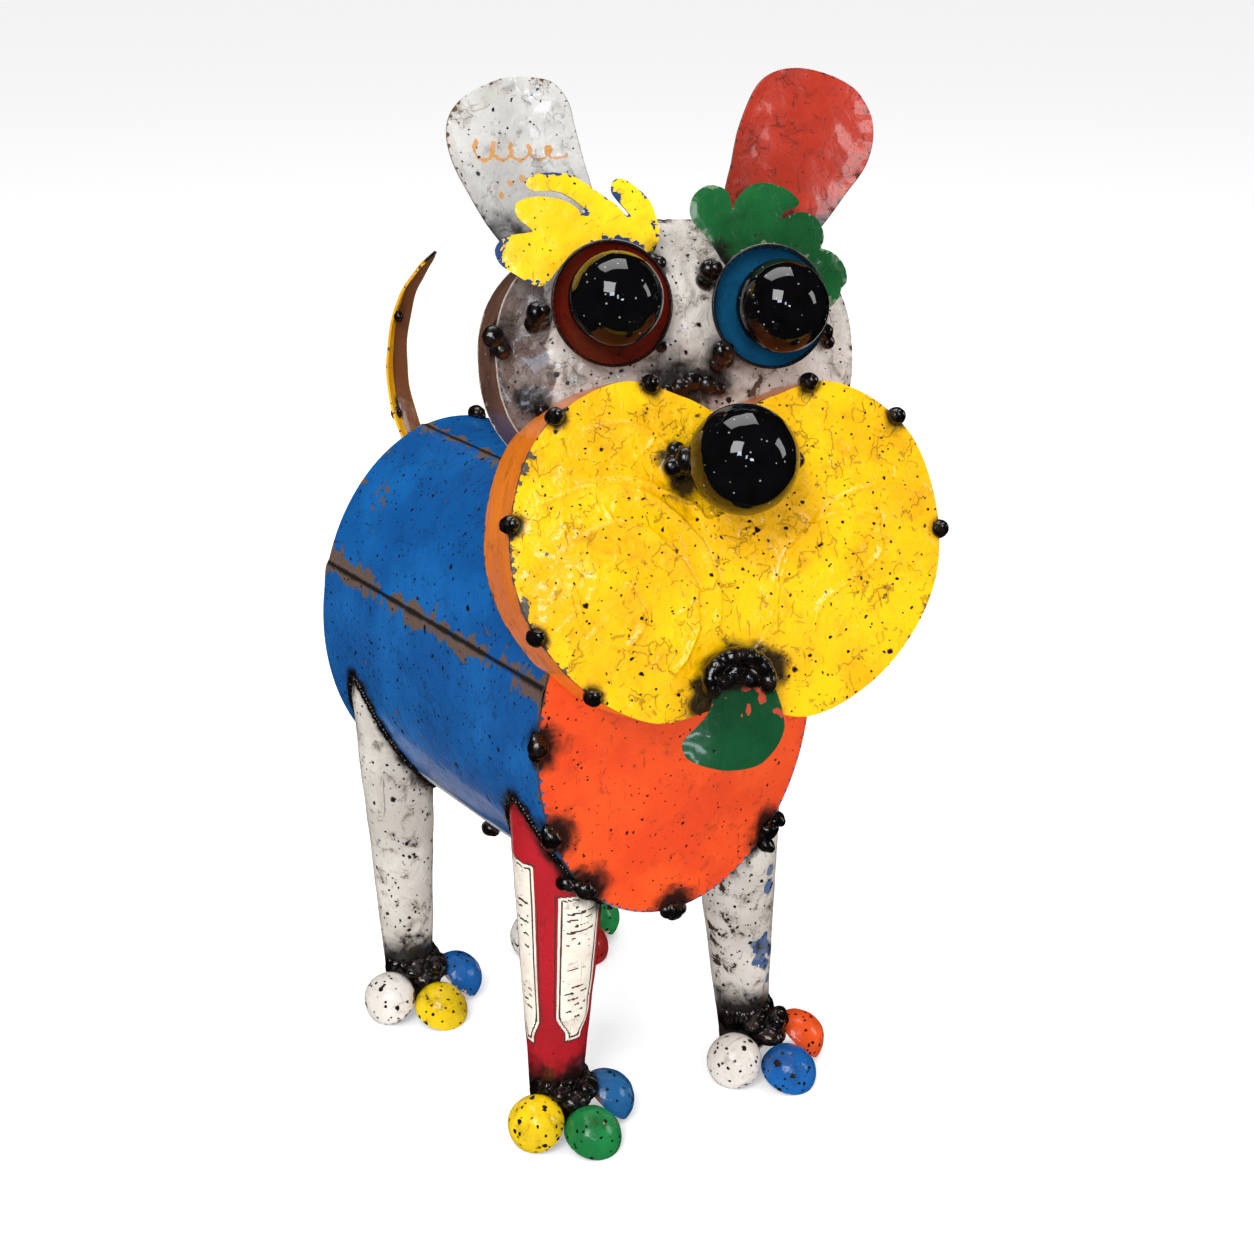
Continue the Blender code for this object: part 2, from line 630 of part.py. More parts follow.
def make_eye_beads(head, centre, rim, angles, first, skull_envelope):
    """Large beads that tie an eye cup's rim to the face."""
    turns = [2 * math.pi * i / 20 for i in range(20)]
    radius = EYE_RIM_RADIUS + 2 * GAP
    outline = [(centre[0] + radius * math.cos(t), centre[1] + radius * math.sin(t)) for t in turns]
    cup_solid = add_object(f"cup_solid_{first}", prism(outline, rim - GAP, rim + 2 * EYE_CUP_DEPTH), head)
    for number, degrees in enumerate(angles, start=first):
        turn, reach = math.radians(degrees), EYE_RIM_RADIUS + EYE_BEAD_RADIUS / 3
        place = (centre[0] + reach * math.cos(turn), rim + EYE_BEAD_RADIUS / 2, centre[1] + reach * math.sin(turn))
        bead = add_object(f"eye_bead_{number}", ball(place, (EYE_BEAD_RADIUS,) * 3, 8, 5), head, "weld_steel")
        cut(bead, cup_solid, skull_envelope)


def make_brow(head, label, centre, plane, lobes, span, colour):
    """A sheet that wraps the top of an eye cup. Each lobe is its angle, half width in degrees and reach."""
    inner = EYE_RIM_RADIUS + GAP
    start, end = span
    columns = int(abs(end - start) / 5)
    grid = []
    for c in range(columns + 1):
        degrees = start + (end - start) * c / columns
        reach = inner + 3 * MM
        for angle, half_width, length in lobes:
            away = abs(degrees - angle) / half_width
            if away < 1:
                reach = max(reach, inner + (length * MM - inner) * math.sqrt(1 - away**2.5))
        line = []
        for step in range(3):
            share = step / 2
            radius = inner + (reach - inner) * share
            bend = BROW_BEND * ((radius - inner) / (EYE_RIM_RADIUS)) ** 2
            turn = math.radians(degrees)
            line.append(Vector((
                centre[0] + radius * math.cos(turn), plane + bend, centre[1] + radius * math.sin(turn)
            )))
        grid.append(line)
    add_object("brow_" + label, slab(grid), head, colour)


def make_ear(head, label, form, colour, skull_envelope):
    """A tongue of sheet, hollow towards the front, cut to the skull's band at its foot."""
    base, tilt_degrees, top_half_width, height, squareness = form
    half_widths = (EAR_FOOT_HALF_WIDTH, top_half_width)
    tilt = math.radians(tilt_degrees)
    up, across = Vector((-math.sin(tilt), 0, math.cos(tilt))), Vector((math.cos(tilt), 0, math.sin(tilt)))
    shoulder = height - half_widths[1] * 0.95
    levels = [-EAR_ROOT, 0, shoulder * 0.5, shoulder]
    levels += [shoulder + (height - shoulder) * s for s in (0.3, 0.55, 0.75, 0.89, 0.97, 1.0)]
    grid = []
    for level in levels:
        if level <= shoulder:
            half = half_widths[0] + (half_widths[1] - half_widths[0]) * max(level, 0) / shoulder
        else:
            rise = (level - shoulder) / (height - shoulder)
            half = half_widths[1] * max((1 - rise**squareness) ** (1 / squareness), 0.2)
        line = []
        for c in range(5):
            share = c / 2 - 1
            depth = EAR_PLANE - EAR_HOLLOW * (share * half / half_widths[1]) ** 2
            point = Vector((base[0], 0, base[1])) + up * level + across * (share * half)
            line.append(Vector((point.x, depth, point.z)))
        grid.append(line)
    ear = add_object("ear_" + label, slab(grid), head, colour)
    cut(ear, skull_envelope)


def ring_caps(rings):
    """The middles of a tube's first and last ring, to close its ends."""
    return [[sum(ring, Vector()) / len(ring)] for ring in (rings[0], rings[-1])]


def make_lip(head):
    """The rolled lip. Returns a solid that clears it."""
    x, top = MOUTH_POINT
    steps, sides = 6, 6

    def rings(radius):
        made = []
        for i in range(steps + 1):
            turn = math.pi * (1.08 - 1.16 * i / steps)
            out = Vector((math.cos(turn), 0, math.sin(turn)))
            middle = Vector((x + LIP_ARCH[0] * out.x, -LIP_RADIUS - 2 * MM, top - LIP_DROP + LIP_ARCH[1] * out.z))
            turns = [2 * math.pi * k / sides for k in range(sides)]
            made.append([middle + (out * math.cos(a) + Vector((0, 1, 0)) * math.sin(a)) * radius for a in turns])
        return made

    shown, clear = rings(LIP_RADIUS), rings(LIP_RADIUS + GAP)
    add_object("mouth_lip", loft([ring_caps(shown)[0], *shown, ring_caps(shown)[1]]), head, "weld_steel")
    return add_object("lip_solid", loft([ring_caps(clear)[0], *clear, ring_caps(clear)[1]]), head)


def make_tongue(head, lip_solid):
    """A curved tongue of sheet that widens downwards and drifts to the dog's right."""
    x, top = MOUTH_POINT
    levels = 7
    grid = []
    for i in range(levels + 1):
        share = i / levels
        spread = min(1, share * 1.35) ** 1.5
        half = TONGUE_HALF_WIDTHS[0] + (TONGUE_HALF_WIDTHS[1] - TONGUE_HALF_WIDTHS[0]) * spread
        if share > 0.72:
            half *= max(math.sqrt(1 - ((share - 0.72) / 0.285) ** 2), 0.3)
        middle = x - TONGUE_DRIFT * share**1.3
        y = -TONGUE_STAND_OFF[0] - TONGUE_STAND_OFF[1] * math.sin(math.pi * min(share * 1.6, 1) / 2)
        z = top - TONGUE_ROOT_DROP - TONGUE_LENGTH * share
        grid.append([Vector((middle + half * s, y + 2 * SHEET * s * s, z)) for s in (-1, -0.5, 0, 0.5, 1)])
    cut(add_object("tongue", slab(grid), head, "green_enamel"), lip_solid)


def make_tail(dog):
    """A tapering trough of sheet that curls up and forward, open towards the head."""
    rump_y, rump_z = BARREL_LENGTH / MM, BARREL_AXIS_HEIGHT / MM
    path = smooth_path([Vector((0, rump_y + y, rump_z + z)) * MM for y, z in TAIL_PATH_MM], 2)
    path[0].y = BARREL_LENGTH + SHEET + DISC_CROWN + 4 * GAP
    grid = []
    last = len(path) - 1
    for i, point in enumerate(path):
        way = (path[min(i + 1, last)] - path[max(i - 1, 0)]).normalized()
        forward = Vector((1, 0, 0)).cross(way)
        share = i / last
        taper = math.sqrt(max(1 - share**2.2, 0.03))
        line = []
        for c in (-1, -0.5, 0, 0.5, 1):
            fold = TAIL_TROUGH * taper * abs(c) ** 1.3
            line.append(point + Vector((c * TAIL_WIDTH / 2 * taper, 0, 0)) + forward * fold)
        grid.append(line)
    return add_object("tail", slab(grid), dog, "yellow_enamel")


def stand_on_origin(dog):
    """Moves the whole dog so that the middle of the underside of its box is the origin."""
    bpy.context.view_layer.update()
    graph = bpy.context.evaluated_depsgraph_get()
    corners = []
    for piece in bpy.data.objects:
        if piece.type == "MESH" and not piece.hide_render:
            shown = piece.evaluated_get(graph)
            mesh = shown.to_mesh()
            corners += [shown.matrix_world @ vertex.co for vertex in mesh.vertices]
            shown.to_mesh_clear()
    low = Vector([min(p[k] for p in corners) for k in range(3)])
    high = Vector([max(p[k] for p in corners) for k in range(3)])
    dog.location = (-(low.x + high.x) / 2, -(low.y + high.y) / 2, -low.z)


def main():
    clear_scene()
    dog = empty("dog")
    head = empty("head", dog)
    turn = Matrix.Rotation(math.radians(HEAD_YAW_DEGREES), 4, "Z")
    turn = turn @ Matrix.Rotation(math.radians(-HEAD_PITCH_DEGREES), 4, "X")
    turn = turn @ Matrix.Rotation(math.radians(HEAD_ROLL_DEGREES), 4, "Y")
    chest = Vector((0, 0, BARREL_AXIS_HEIGHT))
    head.matrix_local = Matrix.Translation(chest + Vector(HEAD_OFFSET)) @ turn
    body_envelope, bore = make_body(dog)
    make_chest_beads(dog, body_envelope, make_legs(dog, bore))
    skull_envelope = make_skull(head, body_envelope)
    make_muzzle(head, body_envelope, skull_envelope)
    make_nose(head)
    right_rim = make_eye(head, "right", RIGHT_EYE, RIGHT_BALL_SHIFT, "maroon_enamel")
    left_rim = make_eye(head, "left", LEFT_EYE, LEFT_BALL_SHIFT, "teal_enamel")
    make_eye_beads(head, RIGHT_EYE, right_rim, RIGHT_EYE_BEAD_DEGREES, 1, skull_envelope)
    make_eye_beads(head, LEFT_EYE, left_rim, LEFT_EYE_BEAD_DEGREES, 3, skull_envelope)
    make_brow(head, "right", RIGHT_EYE, right_rim, RIGHT_BROW_LOBES, RIGHT_BROW_SPAN, "yellow_enamel")
    make_brow(head, "left", LEFT_EYE, left_rim, LEFT_BROW_LOBES, LEFT_BROW_SPAN, "green_enamel")
    make_ear(head, "right", RIGHT_EAR, "cream_enamel", skull_envelope)
    make_ear(head, "left", LEFT_EAR, "red_enamel", skull_envelope)
    make_tongue(head, make_lip(head))
    make_tail(dog)
    stand_on_origin(dog)


main()
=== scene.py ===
"""Looks of the scrap metal dog: hammered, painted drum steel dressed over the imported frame.

The drum steel is enamelled sheet, cut with snips, beaten over a stake and joined with beads of stick weld.
Sizes are millimetres until a mesh is made. Body pieces use the dog's own frame, with the chest at y = 0 and
the floor at z = 0. Head pieces use the head's frame, which has x to the dog's left, y into the head and z up.
"""

from __future__ import annotations

import json
import logging
import math
from dataclasses import dataclass, field
from enum import Enum
from typing import Callable, Sequence

import bpy
import numpy as np
from mathutils import Matrix, Vector
from mathutils.geometry import delaunay_2d_cdt

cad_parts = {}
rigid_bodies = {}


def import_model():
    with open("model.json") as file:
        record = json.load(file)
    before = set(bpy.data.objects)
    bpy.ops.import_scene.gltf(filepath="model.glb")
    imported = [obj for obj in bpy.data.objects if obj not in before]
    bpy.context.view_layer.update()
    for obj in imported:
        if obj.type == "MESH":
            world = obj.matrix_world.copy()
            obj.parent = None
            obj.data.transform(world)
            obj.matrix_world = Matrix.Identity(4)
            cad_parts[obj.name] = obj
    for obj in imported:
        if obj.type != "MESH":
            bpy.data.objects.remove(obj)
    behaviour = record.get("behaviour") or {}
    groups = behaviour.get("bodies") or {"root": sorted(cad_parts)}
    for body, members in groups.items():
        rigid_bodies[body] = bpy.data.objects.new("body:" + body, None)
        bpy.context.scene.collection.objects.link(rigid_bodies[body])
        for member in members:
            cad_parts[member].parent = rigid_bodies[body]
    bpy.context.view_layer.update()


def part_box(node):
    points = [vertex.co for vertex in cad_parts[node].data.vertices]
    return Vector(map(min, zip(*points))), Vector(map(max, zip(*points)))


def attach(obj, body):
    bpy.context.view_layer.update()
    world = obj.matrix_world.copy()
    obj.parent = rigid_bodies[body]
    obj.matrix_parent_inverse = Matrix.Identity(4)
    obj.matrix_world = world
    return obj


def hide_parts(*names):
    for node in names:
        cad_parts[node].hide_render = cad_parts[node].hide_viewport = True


LOG = logging.getLogger("scrap_dog")
Array = np.ndarray
Place = Callable[[Array], Array]
MM = 0.001
SHEET = 1.2
GAP = 0.3
HEAD_PLACE = (7.2, -35.0, 342.4)
HEAD_YAW, HEAD_NOD, HEAD_ROLL = -17, -18, 2
# The first colour is the sooty black round the welds, and also the faint painted shade under the muzzle on the
# chest disc.
SOOT_AND_SHADE, GRIME = "#14100D", "#8A7A68"


# Node settings that repeat
SMOOTH = {"interpolation_type": "SMOOTHSTEP"}
RGBA = {"data_type": "RGBA"}
TIMES_PLUS = {"operation": "MULTIPLY_ADD"}
TIMES = {"operation": "MULTIPLY"}
LARGEST = {"operation": "MAXIMUM"}


# Shapes of hammered steel, worked out with numpy


def lattice(cells: Array, seed: int) -> Array:
    """Even pseudo-random values for whole-number cells.

    Args:
        cells: whole numbers, three in the last axis.
        seed: picks the pattern.

    Returns:
        One value from 0 to 1 for each cell.
    """
    mixed = (cells[..., 0] * 73856093) ^ (cells[..., 1] * 19349663) ^ (cells[..., 2] * 83492791) ^ (seed * 7919)
    mixed = ((mixed ^ (mixed >> 13)) * 1274126177) & 0xFFFFFFFF
    return ((mixed ^ (mixed >> 16)) & 0xFFFFFF) / float(1 << 24)


def soft_noise(points: Array, size: float, seed: int, octaves: int = 1) -> Array:
    """Smooth noise from -1 to 1.

    Args:
        points: places in millimetres.
        size: width of one swell in millimetres.
        seed: picks the pattern.
        octaves: how many finer copies are added.
    """
    total, reach = np.zeros(len(points)), 0.0
    for octave in range(octaves):
        scaled = points / size * 2**octave + 37.7 * octave
        low = np.floor(scaled).astype(np.int64)
        share = scaled - low
        share = share * share * (3 - 2 * share)
        value = np.zeros(len(points))
        for corner in range(8):
            step = np.array([(corner >> k) & 1 for k in range(3)])
            weight = np.prod(np.where(step == 1, share, 1 - share), axis=1)
            value += weight * lattice(low + step, seed + octave)
        total += (2 * value - 1) * 0.55**octave
        reach += 0.55**octave
    return total / reach


def hammer_marks(points: Array, size: float, seed: int) -> Array:
    """Cupped marks of a ball hammer: 0 in the middle of a blow, 1 where blows meet.

    Args:
        points: places in millimetres.
        size: the distance between blows.
        seed: picks the pattern.

    Returns:
        One value for each point.
    """
    scaled = points / size
    low = np.floor(scaled).astype(np.int64)
    nearest = np.full(len(points), 9.0)
    for i in range(27):
        cell = low + np.array([i % 3 - 1, i // 3 % 3 - 1, i // 9 - 1])
        centre = cell + np.stack([lattice(cell, seed + k) for k in (1, 2, 3)], axis=1)
        nearest = np.minimum(nearest, ((scaled - centre) ** 2).sum(axis=1))
    return np.clip(np.sqrt(nearest), 0, 1)


def near(points: Array, marks: Array, reach: float) -> Array:
    """How close each point is to the nearest mark: 1 on it, 0 at the reach and past it.

    Args:
        points: places in millimetres.
        marks: the middles of the marks.
        reach: in millimetres.

    Returns:
        One value for each point.
    """
    best = np.full(len(points), np.inf)
    for mark in marks:
        best = np.minimum(best, ((points - mark) ** 2).sum(axis=1))
    return np.clip(1 - np.sqrt(best) / reach, 0, 1)


def step_up(values: Array, low: float, high: float) -> Array:
    """A smooth step from 0 at low to 1 at high."""
    share = np.clip((values - low) / (high - low), 0, 1)
    return share * share * (3 - 2 * share)


def along_line(x: Array, z: Array, line: Sequence[tuple[float, float]]) -> Array:
    """Distance in millimetres from each (x, z) to a drawn line.

    Args:
        x: across, for each point.
        z: upwards, for each point.
        line: the corners of the line, in (x, z).

    Returns:
        The distance for each point.
    """
    best = np.full(len(x), np.inf)
    for (x0, z0), (x1, z1) in zip(line, line[1:]):
        dx, dz = x1 - x0, z1 - z0
        t = np.clip(((x - x0) * dx + (z - z0) * dz) / (dx * dx + dz * dz), 0, 1)
        best = np.minimum(best, np.hypot(x - x0 - t * dx, z - z0 - t * dz))
    return best


def smooth_path(points: Sequence[Sequence[float]], steps: int, closed: bool = False) -> Array:
    """Points along a Catmull-Rom curve.

    Args:
        points: what the curve passes through.
        steps: how many points each stretch gets.
        closed: whether the last point leads back to the first.
    """
    way = np.asarray(points, float)
    ends = (way[-1:], way[:2]) if closed else (2 * way[:1] - way[1:2], 2 * way[-1:] - way[-2:-1])
    padded = np.concatenate([ends[0], way, ends[1]])
    path = []
    for p0, p1, p2, p3 in zip(padded, padded[1:], padded[2:], padded[3:]):
        for i in range(steps):
            t = i / steps
            path.append(0.5 * (2 * p1 + (p2 - p0) * t + (2 * p0 - 5 * p1 + 4 * p2 - p3) * t**2
                               + (3 * p1 - p0 - 3 * p2 + p3) * t**3))
    if not closed:
        path.append(way[-1])
    return np.array(path)


def superellipse(angle: Array, half_width: float, half_height: float, power: float) -> tuple[Array, Array]:
    """The point of a squared oval at each angle.

    Args:
        angle: in radians.
        half_width: along x.
        half_height: along z.
        power: 2 is an ellipse, and more is squarer.

    Returns:
        The x and z of each point, from the oval's middle.
    """
    c, s = np.cos(angle), np.sin(angle)
    reach = (np.abs(c) ** power + np.abs(s) ** power) ** (-1 / power)
    return half_width * reach * c, half_height * reach * s


def oval(angle: Array, offset: float = 0.0) -> tuple[Array, Array]:
    """The body's oval in (x, z)."""
    return superellipse(angle, 80 + offset, 100 + offset, 2.0)


@dataclass
class Skin:
    """Vertices and triangles of one open sheet, with its paint masks by name."""

    points: Array
    faces: Array
    rims: list[Array]
    masks: dict[str, Array] = field(default_factory=dict)

    def normals(self) -> Array:
        """The unit normal at each vertex, by the order of its triangles."""
        corners = self.points[self.faces]
        flat = np.cross(corners[:, 1] - corners[:, 0], corners[:, 2] - corners[:, 0])
        total = np.zeros_like(self.points)
        for k in range(3):
            np.add.at(total, self.faces[:, k], flat)
        return total / np.maximum(np.linalg.norm(total, axis=1, keepdims=True), 1e-12)

    def rim_distance(self) -> Array:
        """Distance in millimetres from each vertex to the sheet's cut edge."""
        marks = np.concatenate([self.points[rim[::3]] for rim in self.rims])
        best = np.full(len(self.points), np.inf)
        for start in range(0, len(self.points), 4000):
            part = self.points[start : start + 4000]
            gaps = ((part[:, None, :] - marks[None]) ** 2).sum(axis=2)
            best[start : start + 4000] = np.sqrt(gaps.min(axis=1))
        return best

    def noise(self, size: float, seed: int, octaves: int = 1) -> Array:
        """Smooth noise from -1 to 1 at each vertex."""
        return soft_noise(self.points, size, seed, octaves)

    def pushed(self, depth: Array) -> "Skin":
        """The same sheet with each vertex moved along its normal."""
        return Skin(self.points + self.normals() * depth[:, None], self.faces, self.rims, dict(self.masks))


def grid_skin(rows: Array, wrap: bool = True, pole: bool = False) -> Skin:
    """A sheet through a grid of points.

    Args:
        rows: points as rows by columns by 3.
        wrap: whether the last column joins the first.
        pole: whether the first row shrinks to its first point.
    """
    count, across = rows.shape[:2]
    index = np.arange(count * across).reshape(count, across)
    points = rows.reshape(-1, 3)
    if pole:
        points = np.concatenate([rows[0, :1], points[across:]])
        index = np.maximum(index - across + 1, 0)
    left = index if wrap else index[:, :-1]
    right = np.roll(index, -1, axis=1) if wrap else index[:, 1:]
    quads = np.stack([left[:-1], right[:-1], right[1:], left[1:]], axis=-1).reshape(-1, 4)
    faces = np.concatenate([quads[:, [0, 1, 2]], quads[:, [0, 2, 3]]])
    faces = faces[(faces[:, 0] != faces[:, 1]) & (faces[:, 1] != faces[:, 2]) & (faces[:, 0] != faces[:, 2])]
    if not wrap:
        rims = [np.concatenate([index[0, :-1], index[:-1, -1], index[-1, :0:-1], index[:0:-1, 0]])]
    else:
        rims = [index[-1][::-1]] if pole else [index[0], index[-1][::-1]]
    return Skin(points, faces, rims)


def cut_skin(outline: Array, spacing: float, lift: Callable[[Array, Array], Array]) -> Skin:
    """A sheet cut with snips to an outline in (x, z) and bent to a surface y = lift(x, z).

    Args:
        outline: the corners of the cut, in (x, z).
        spacing: between points, in millimetres.
        lift: gives y for each x and z.

    Returns:
        The sheet's shown side.
    """
    low, high = outline.min(axis=0), outline.max(axis=0)
    xs, zs = np.arange(low[0], high[0], spacing), np.arange(low[1], high[1], spacing)
    gx, gz = np.meshgrid(xs, zs)
    gx[::2] += spacing / 2
    inner = np.stack([gx.ravel(), gz.ravel()], axis=1)
    closed = np.concatenate([outline, outline[:1]])
    inside = np.zeros(len(inner), bool)
    for (x0, z0), (x1, z1) in zip(closed, closed[1:]):
        crosses = (z0 > inner[:, 1]) != (z1 > inner[:, 1])
        inside ^= crosses & (inner[:, 0] < (x1 - x0) * (inner[:, 1] - z0) / (z1 - z0 + 1e-12) + x0)
    inner = inner[inside & (along_line(inner[:, 0], inner[:, 1], closed) > spacing * 0.6)]
    flat = np.concatenate([outline, inner])
    ring = list(range(len(outline)))
    edges = list(zip(ring, ring[1:] + ring[:1]))
    points, _, faces, *_ = delaunay_2d_cdt([Vector(p) for p in flat], edges, [], 1, 1e-5)
    if len(points) != len(flat):
        raise ValueError("the outline crosses itself")
    where = np.array(points)
    shaped = np.stack([where[:, 0], lift(where[:, 0], where[:, 1]), where[:, 1]], axis=1)
    corners = np.array([list(face) for face in faces if len(face) == 3], np.int64)
    a, b, c = (where[corners[:, k]] for k in range(3))
    turn = (b[:, 0] - a[:, 0]) * (c[:, 1] - a[:, 1]) - (b[:, 1] - a[:, 1]) * (c[:, 0] - a[:, 0])
    corners[turn < 0] = corners[turn < 0][:, ::-1]
    area = (outline[:, 0] * np.roll(outline[:, 1], -1) - np.roll(outline[:, 0], -1) * outline[:, 1]).sum()
    return Skin(shaped, corners, [np.array(ring if area > 0 else ring[::-1])])


class Build:
    """Turns sheets and lumps into pieces of the dog."""

    shift: Vector = Vector((0, 0, 0))

    @classmethod
    def body(cls, points: Array) -> Array:
        """Body millimetres as metres in the row's frame."""
        return points * MM + np.array(cls.shift)

    @classmethod
    def head(cls, points: Array) -> Array:
        """Head millimetres as metres in the row's frame."""
        turn = Matrix.Rotation(math.radians(HEAD_YAW), 3, "Z") @ Matrix.Rotation(math.radians(HEAD_NOD), 3, "X")
        turn = turn @ Matrix.Rotation(math.radians(HEAD_ROLL), 3, "Y")
        return cls.body(points @ np.array(turn).T + np.array(HEAD_PLACE))

    @staticmethod
    def mesh(name: str, points: Array, faces: Array, masks: dict[str, Array],
             sharp: float = 40) -> bpy.types.Object:
        """An object at the origin with smooth faces that point outwards.

        Args:
            name: the piece's name.
            points: in metres, in the row's frame.
            faces: three point numbers for each face.
            masks: a value at each point for each named attribute.
            sharp: the angle past which an edge stays hard.

        Returns:
            The object, with its place in its mesh.
        """
        corners = points[faces]
        volume = np.einsum("ij,ij->i", corners[:, 0], np.cross(corners[:, 1], corners[:, 2])).sum()
        if volume < 0:
            faces = faces[:, ::-1]
        mesh = bpy.data.meshes.new(name)
        mesh.from_pydata(points.tolist(), [], faces.tolist())
        for label, values in masks.items():
            layer = mesh.attributes.new(label, "FLOAT", "POINT")
            layer.data.foreach_set("value", np.asarray(values, np.float32))
        mesh.shade_smooth()
        mesh.set_sharp_from_angle(angle=math.radians(sharp))
        made = bpy.data.objects.new(name, mesh)
        bpy.context.scene.collection.objects.link(made)
        return made

    @classmethod
    def sheet(cls, name: str, skin: Skin, place: Place, thickness: float = SHEET,
              inward: int = 1) -> bpy.types.Object:
        """A closed sheet of even thickness.

        Args:
            name: the piece's name.
            skin: the shown side.
            place: the frame that the millimetres are in.
            thickness: of the steel.
            inward: 1 or -1, the side of the normals on which the back lies.
        """
        back = skin.points - inward * skin.normals() * thickness
        count = len(skin.points)
        faces = [skin.faces, skin.faces[:, ::-1] + count]
        for rim in skin.rims:
            after = np.roll(rim, -1)
            faces.append(np.stack([rim, rim + count, after + count], axis=1))
            faces.append(np.stack([rim, after + count, after], axis=1))
        inside = skin.masks.pop("inside", np.ones(count))
        masks = dict.fromkeys(("panel", "ink"), np.zeros(2 * count))
        masks.update({label: np.concatenate([values, values]) for label, values in skin.masks.items()})
        masks["back"] = np.concatenate([np.zeros(count), inside])
        return cls.mesh(name, place(np.concatenate([skin.points, back])), np.concatenate(faces), masks)

    @classmethod
    def lump(cls, name: str, blobs: Sequence[tuple[Sequence[float], Sequence[float]]], place: Place,
             seed: int, rough: float = 0.35, voxel: float = 0.55) -> bpy.types.Object:
        """Run-together blobs of weld metal, as one closed body.

        Args:
            name: the piece's name.
            blobs: each a centre and three radii.
            place: the frame that the millimetres are in.
            seed: picks the ripples.
            rough: height of the ripples.
            voxel: how fine the joined surface is.
        """
        rows, across = 12, 18
        lift = np.linspace(0, math.pi, rows + 1)[:, None]
        turn = np.linspace(0, 2 * math.pi, across, endpoint=False)[None]
        unit = np.stack([np.sin(lift) * np.cos(turn), np.sin(lift) * np.sin(turn), np.cos(lift) + 0 * turn],
                        axis=-1)
        points, faces, start = [], [], 0
        for centre, radii in blobs:
            skin = grid_skin(unit[:-1], pole=True)
            last = len(skin.points)
            ring = np.arange(last - across, last)
            cap = np.stack([ring, np.roll(ring, -1), np.full(across, last)], axis=1)
            ball = np.concatenate([skin.points,
                                   unit[-1, :1]]) * np.asarray(radii, float) + np.asarray(centre, float)
            points.append(ball)
            faces.append(np.concatenate([skin.faces, cap]) + start)
            start += len(ball)
        made = cls.mesh(name, np.concatenate(points), np.concatenate(faces), {})
        joined = made.modifiers.new("join", "REMESH")
        joined.mode, joined.voxel_size, joined.use_smooth_shade = "VOXEL", voxel, True
        finished = bpy.data.meshes.new_from_object(made.evaluated_get(bpy.context.evaluated_depsgraph_get()))
        made.modifiers.clear()
        where = np.zeros(len(finished.vertices) * 3, np.float32)
        finished.vertices.foreach_get("co", where)
        where = where.reshape(-1, 3).astype(float)
        finished.calc_loop_triangles()
        tris = np.zeros(len(finished.loop_triangles) * 3, np.int32)
        finished.loop_triangles.foreach_get("vertices", tris)
        tris = tris.reshape(-1, 3)
        skin = Skin(where, tris, [])
        ripple = soft_noise(where, 3.2, seed, 2) * rough + soft_noise(where, 9, seed + 9) * rough
        where = where + skin.normals() * ripple[:, None]
        bpy.data.objects.remove(made)
        return cls.mesh(name, place(where), tris, {}, sharp=80)


def finish(piece: bpy.types.Object, paint: Finish, slot: str, *nodes: str) -> None:
    """Gives a piece its material and its body, and hides the CAD nodes that it stands for.

    Args:
        piece: the finished object.
        paint: its finish.
        slot: the record's material slot, not used.
        nodes: the CAD nodes that it replaces.
    """
    piece.data.materials.clear()
    piece.data.materials.append(paint.material())
    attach(piece, "root")
    if nodes:
        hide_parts(*nodes)
    LOG.info("%s: %d faces for %s", piece.name, len(piece.data.polygons), ", ".join(nodes) or "no node")


# Finishes


def linear(code: str) -> tuple[float, float, float, float]:
    """An sRGB hex colour as linear light."""
    parts = [int(code[i : i + 2], 16) / 255 for i in (1, 3, 5)]
    return (*[c / 12.92 if c <= 0.04045 else ((c + 0.055) / 1.055) ** 2.4 for c in parts], 1.0)


def add(tree: bpy.types.NodeTree, kind: str, settings: dict | None = None,
        inputs: dict | None = None) -> bpy.types.Node:
    """Adds a node with its settings, values and links.

    Args:
        tree: where it goes.
        kind: the node's type.
        settings: its properties by name.
        inputs: a value or a socket to link, by socket name or number.
    """
    node = tree.nodes.new(kind)
    for key, value in (settings or {}).items():
        setattr(node, key, value)
    for key, value in (inputs or {}).items():
        if isinstance(value, bpy.types.NodeSocket):
            tree.links.new(value, node.inputs[key])
        else:
            node.inputs[key].default_value = value
    return node


def per_metre(size_mm: float) -> float:
    """The scale of a pattern whose grains are this size."""
    return 1 / (size_mm * MM)


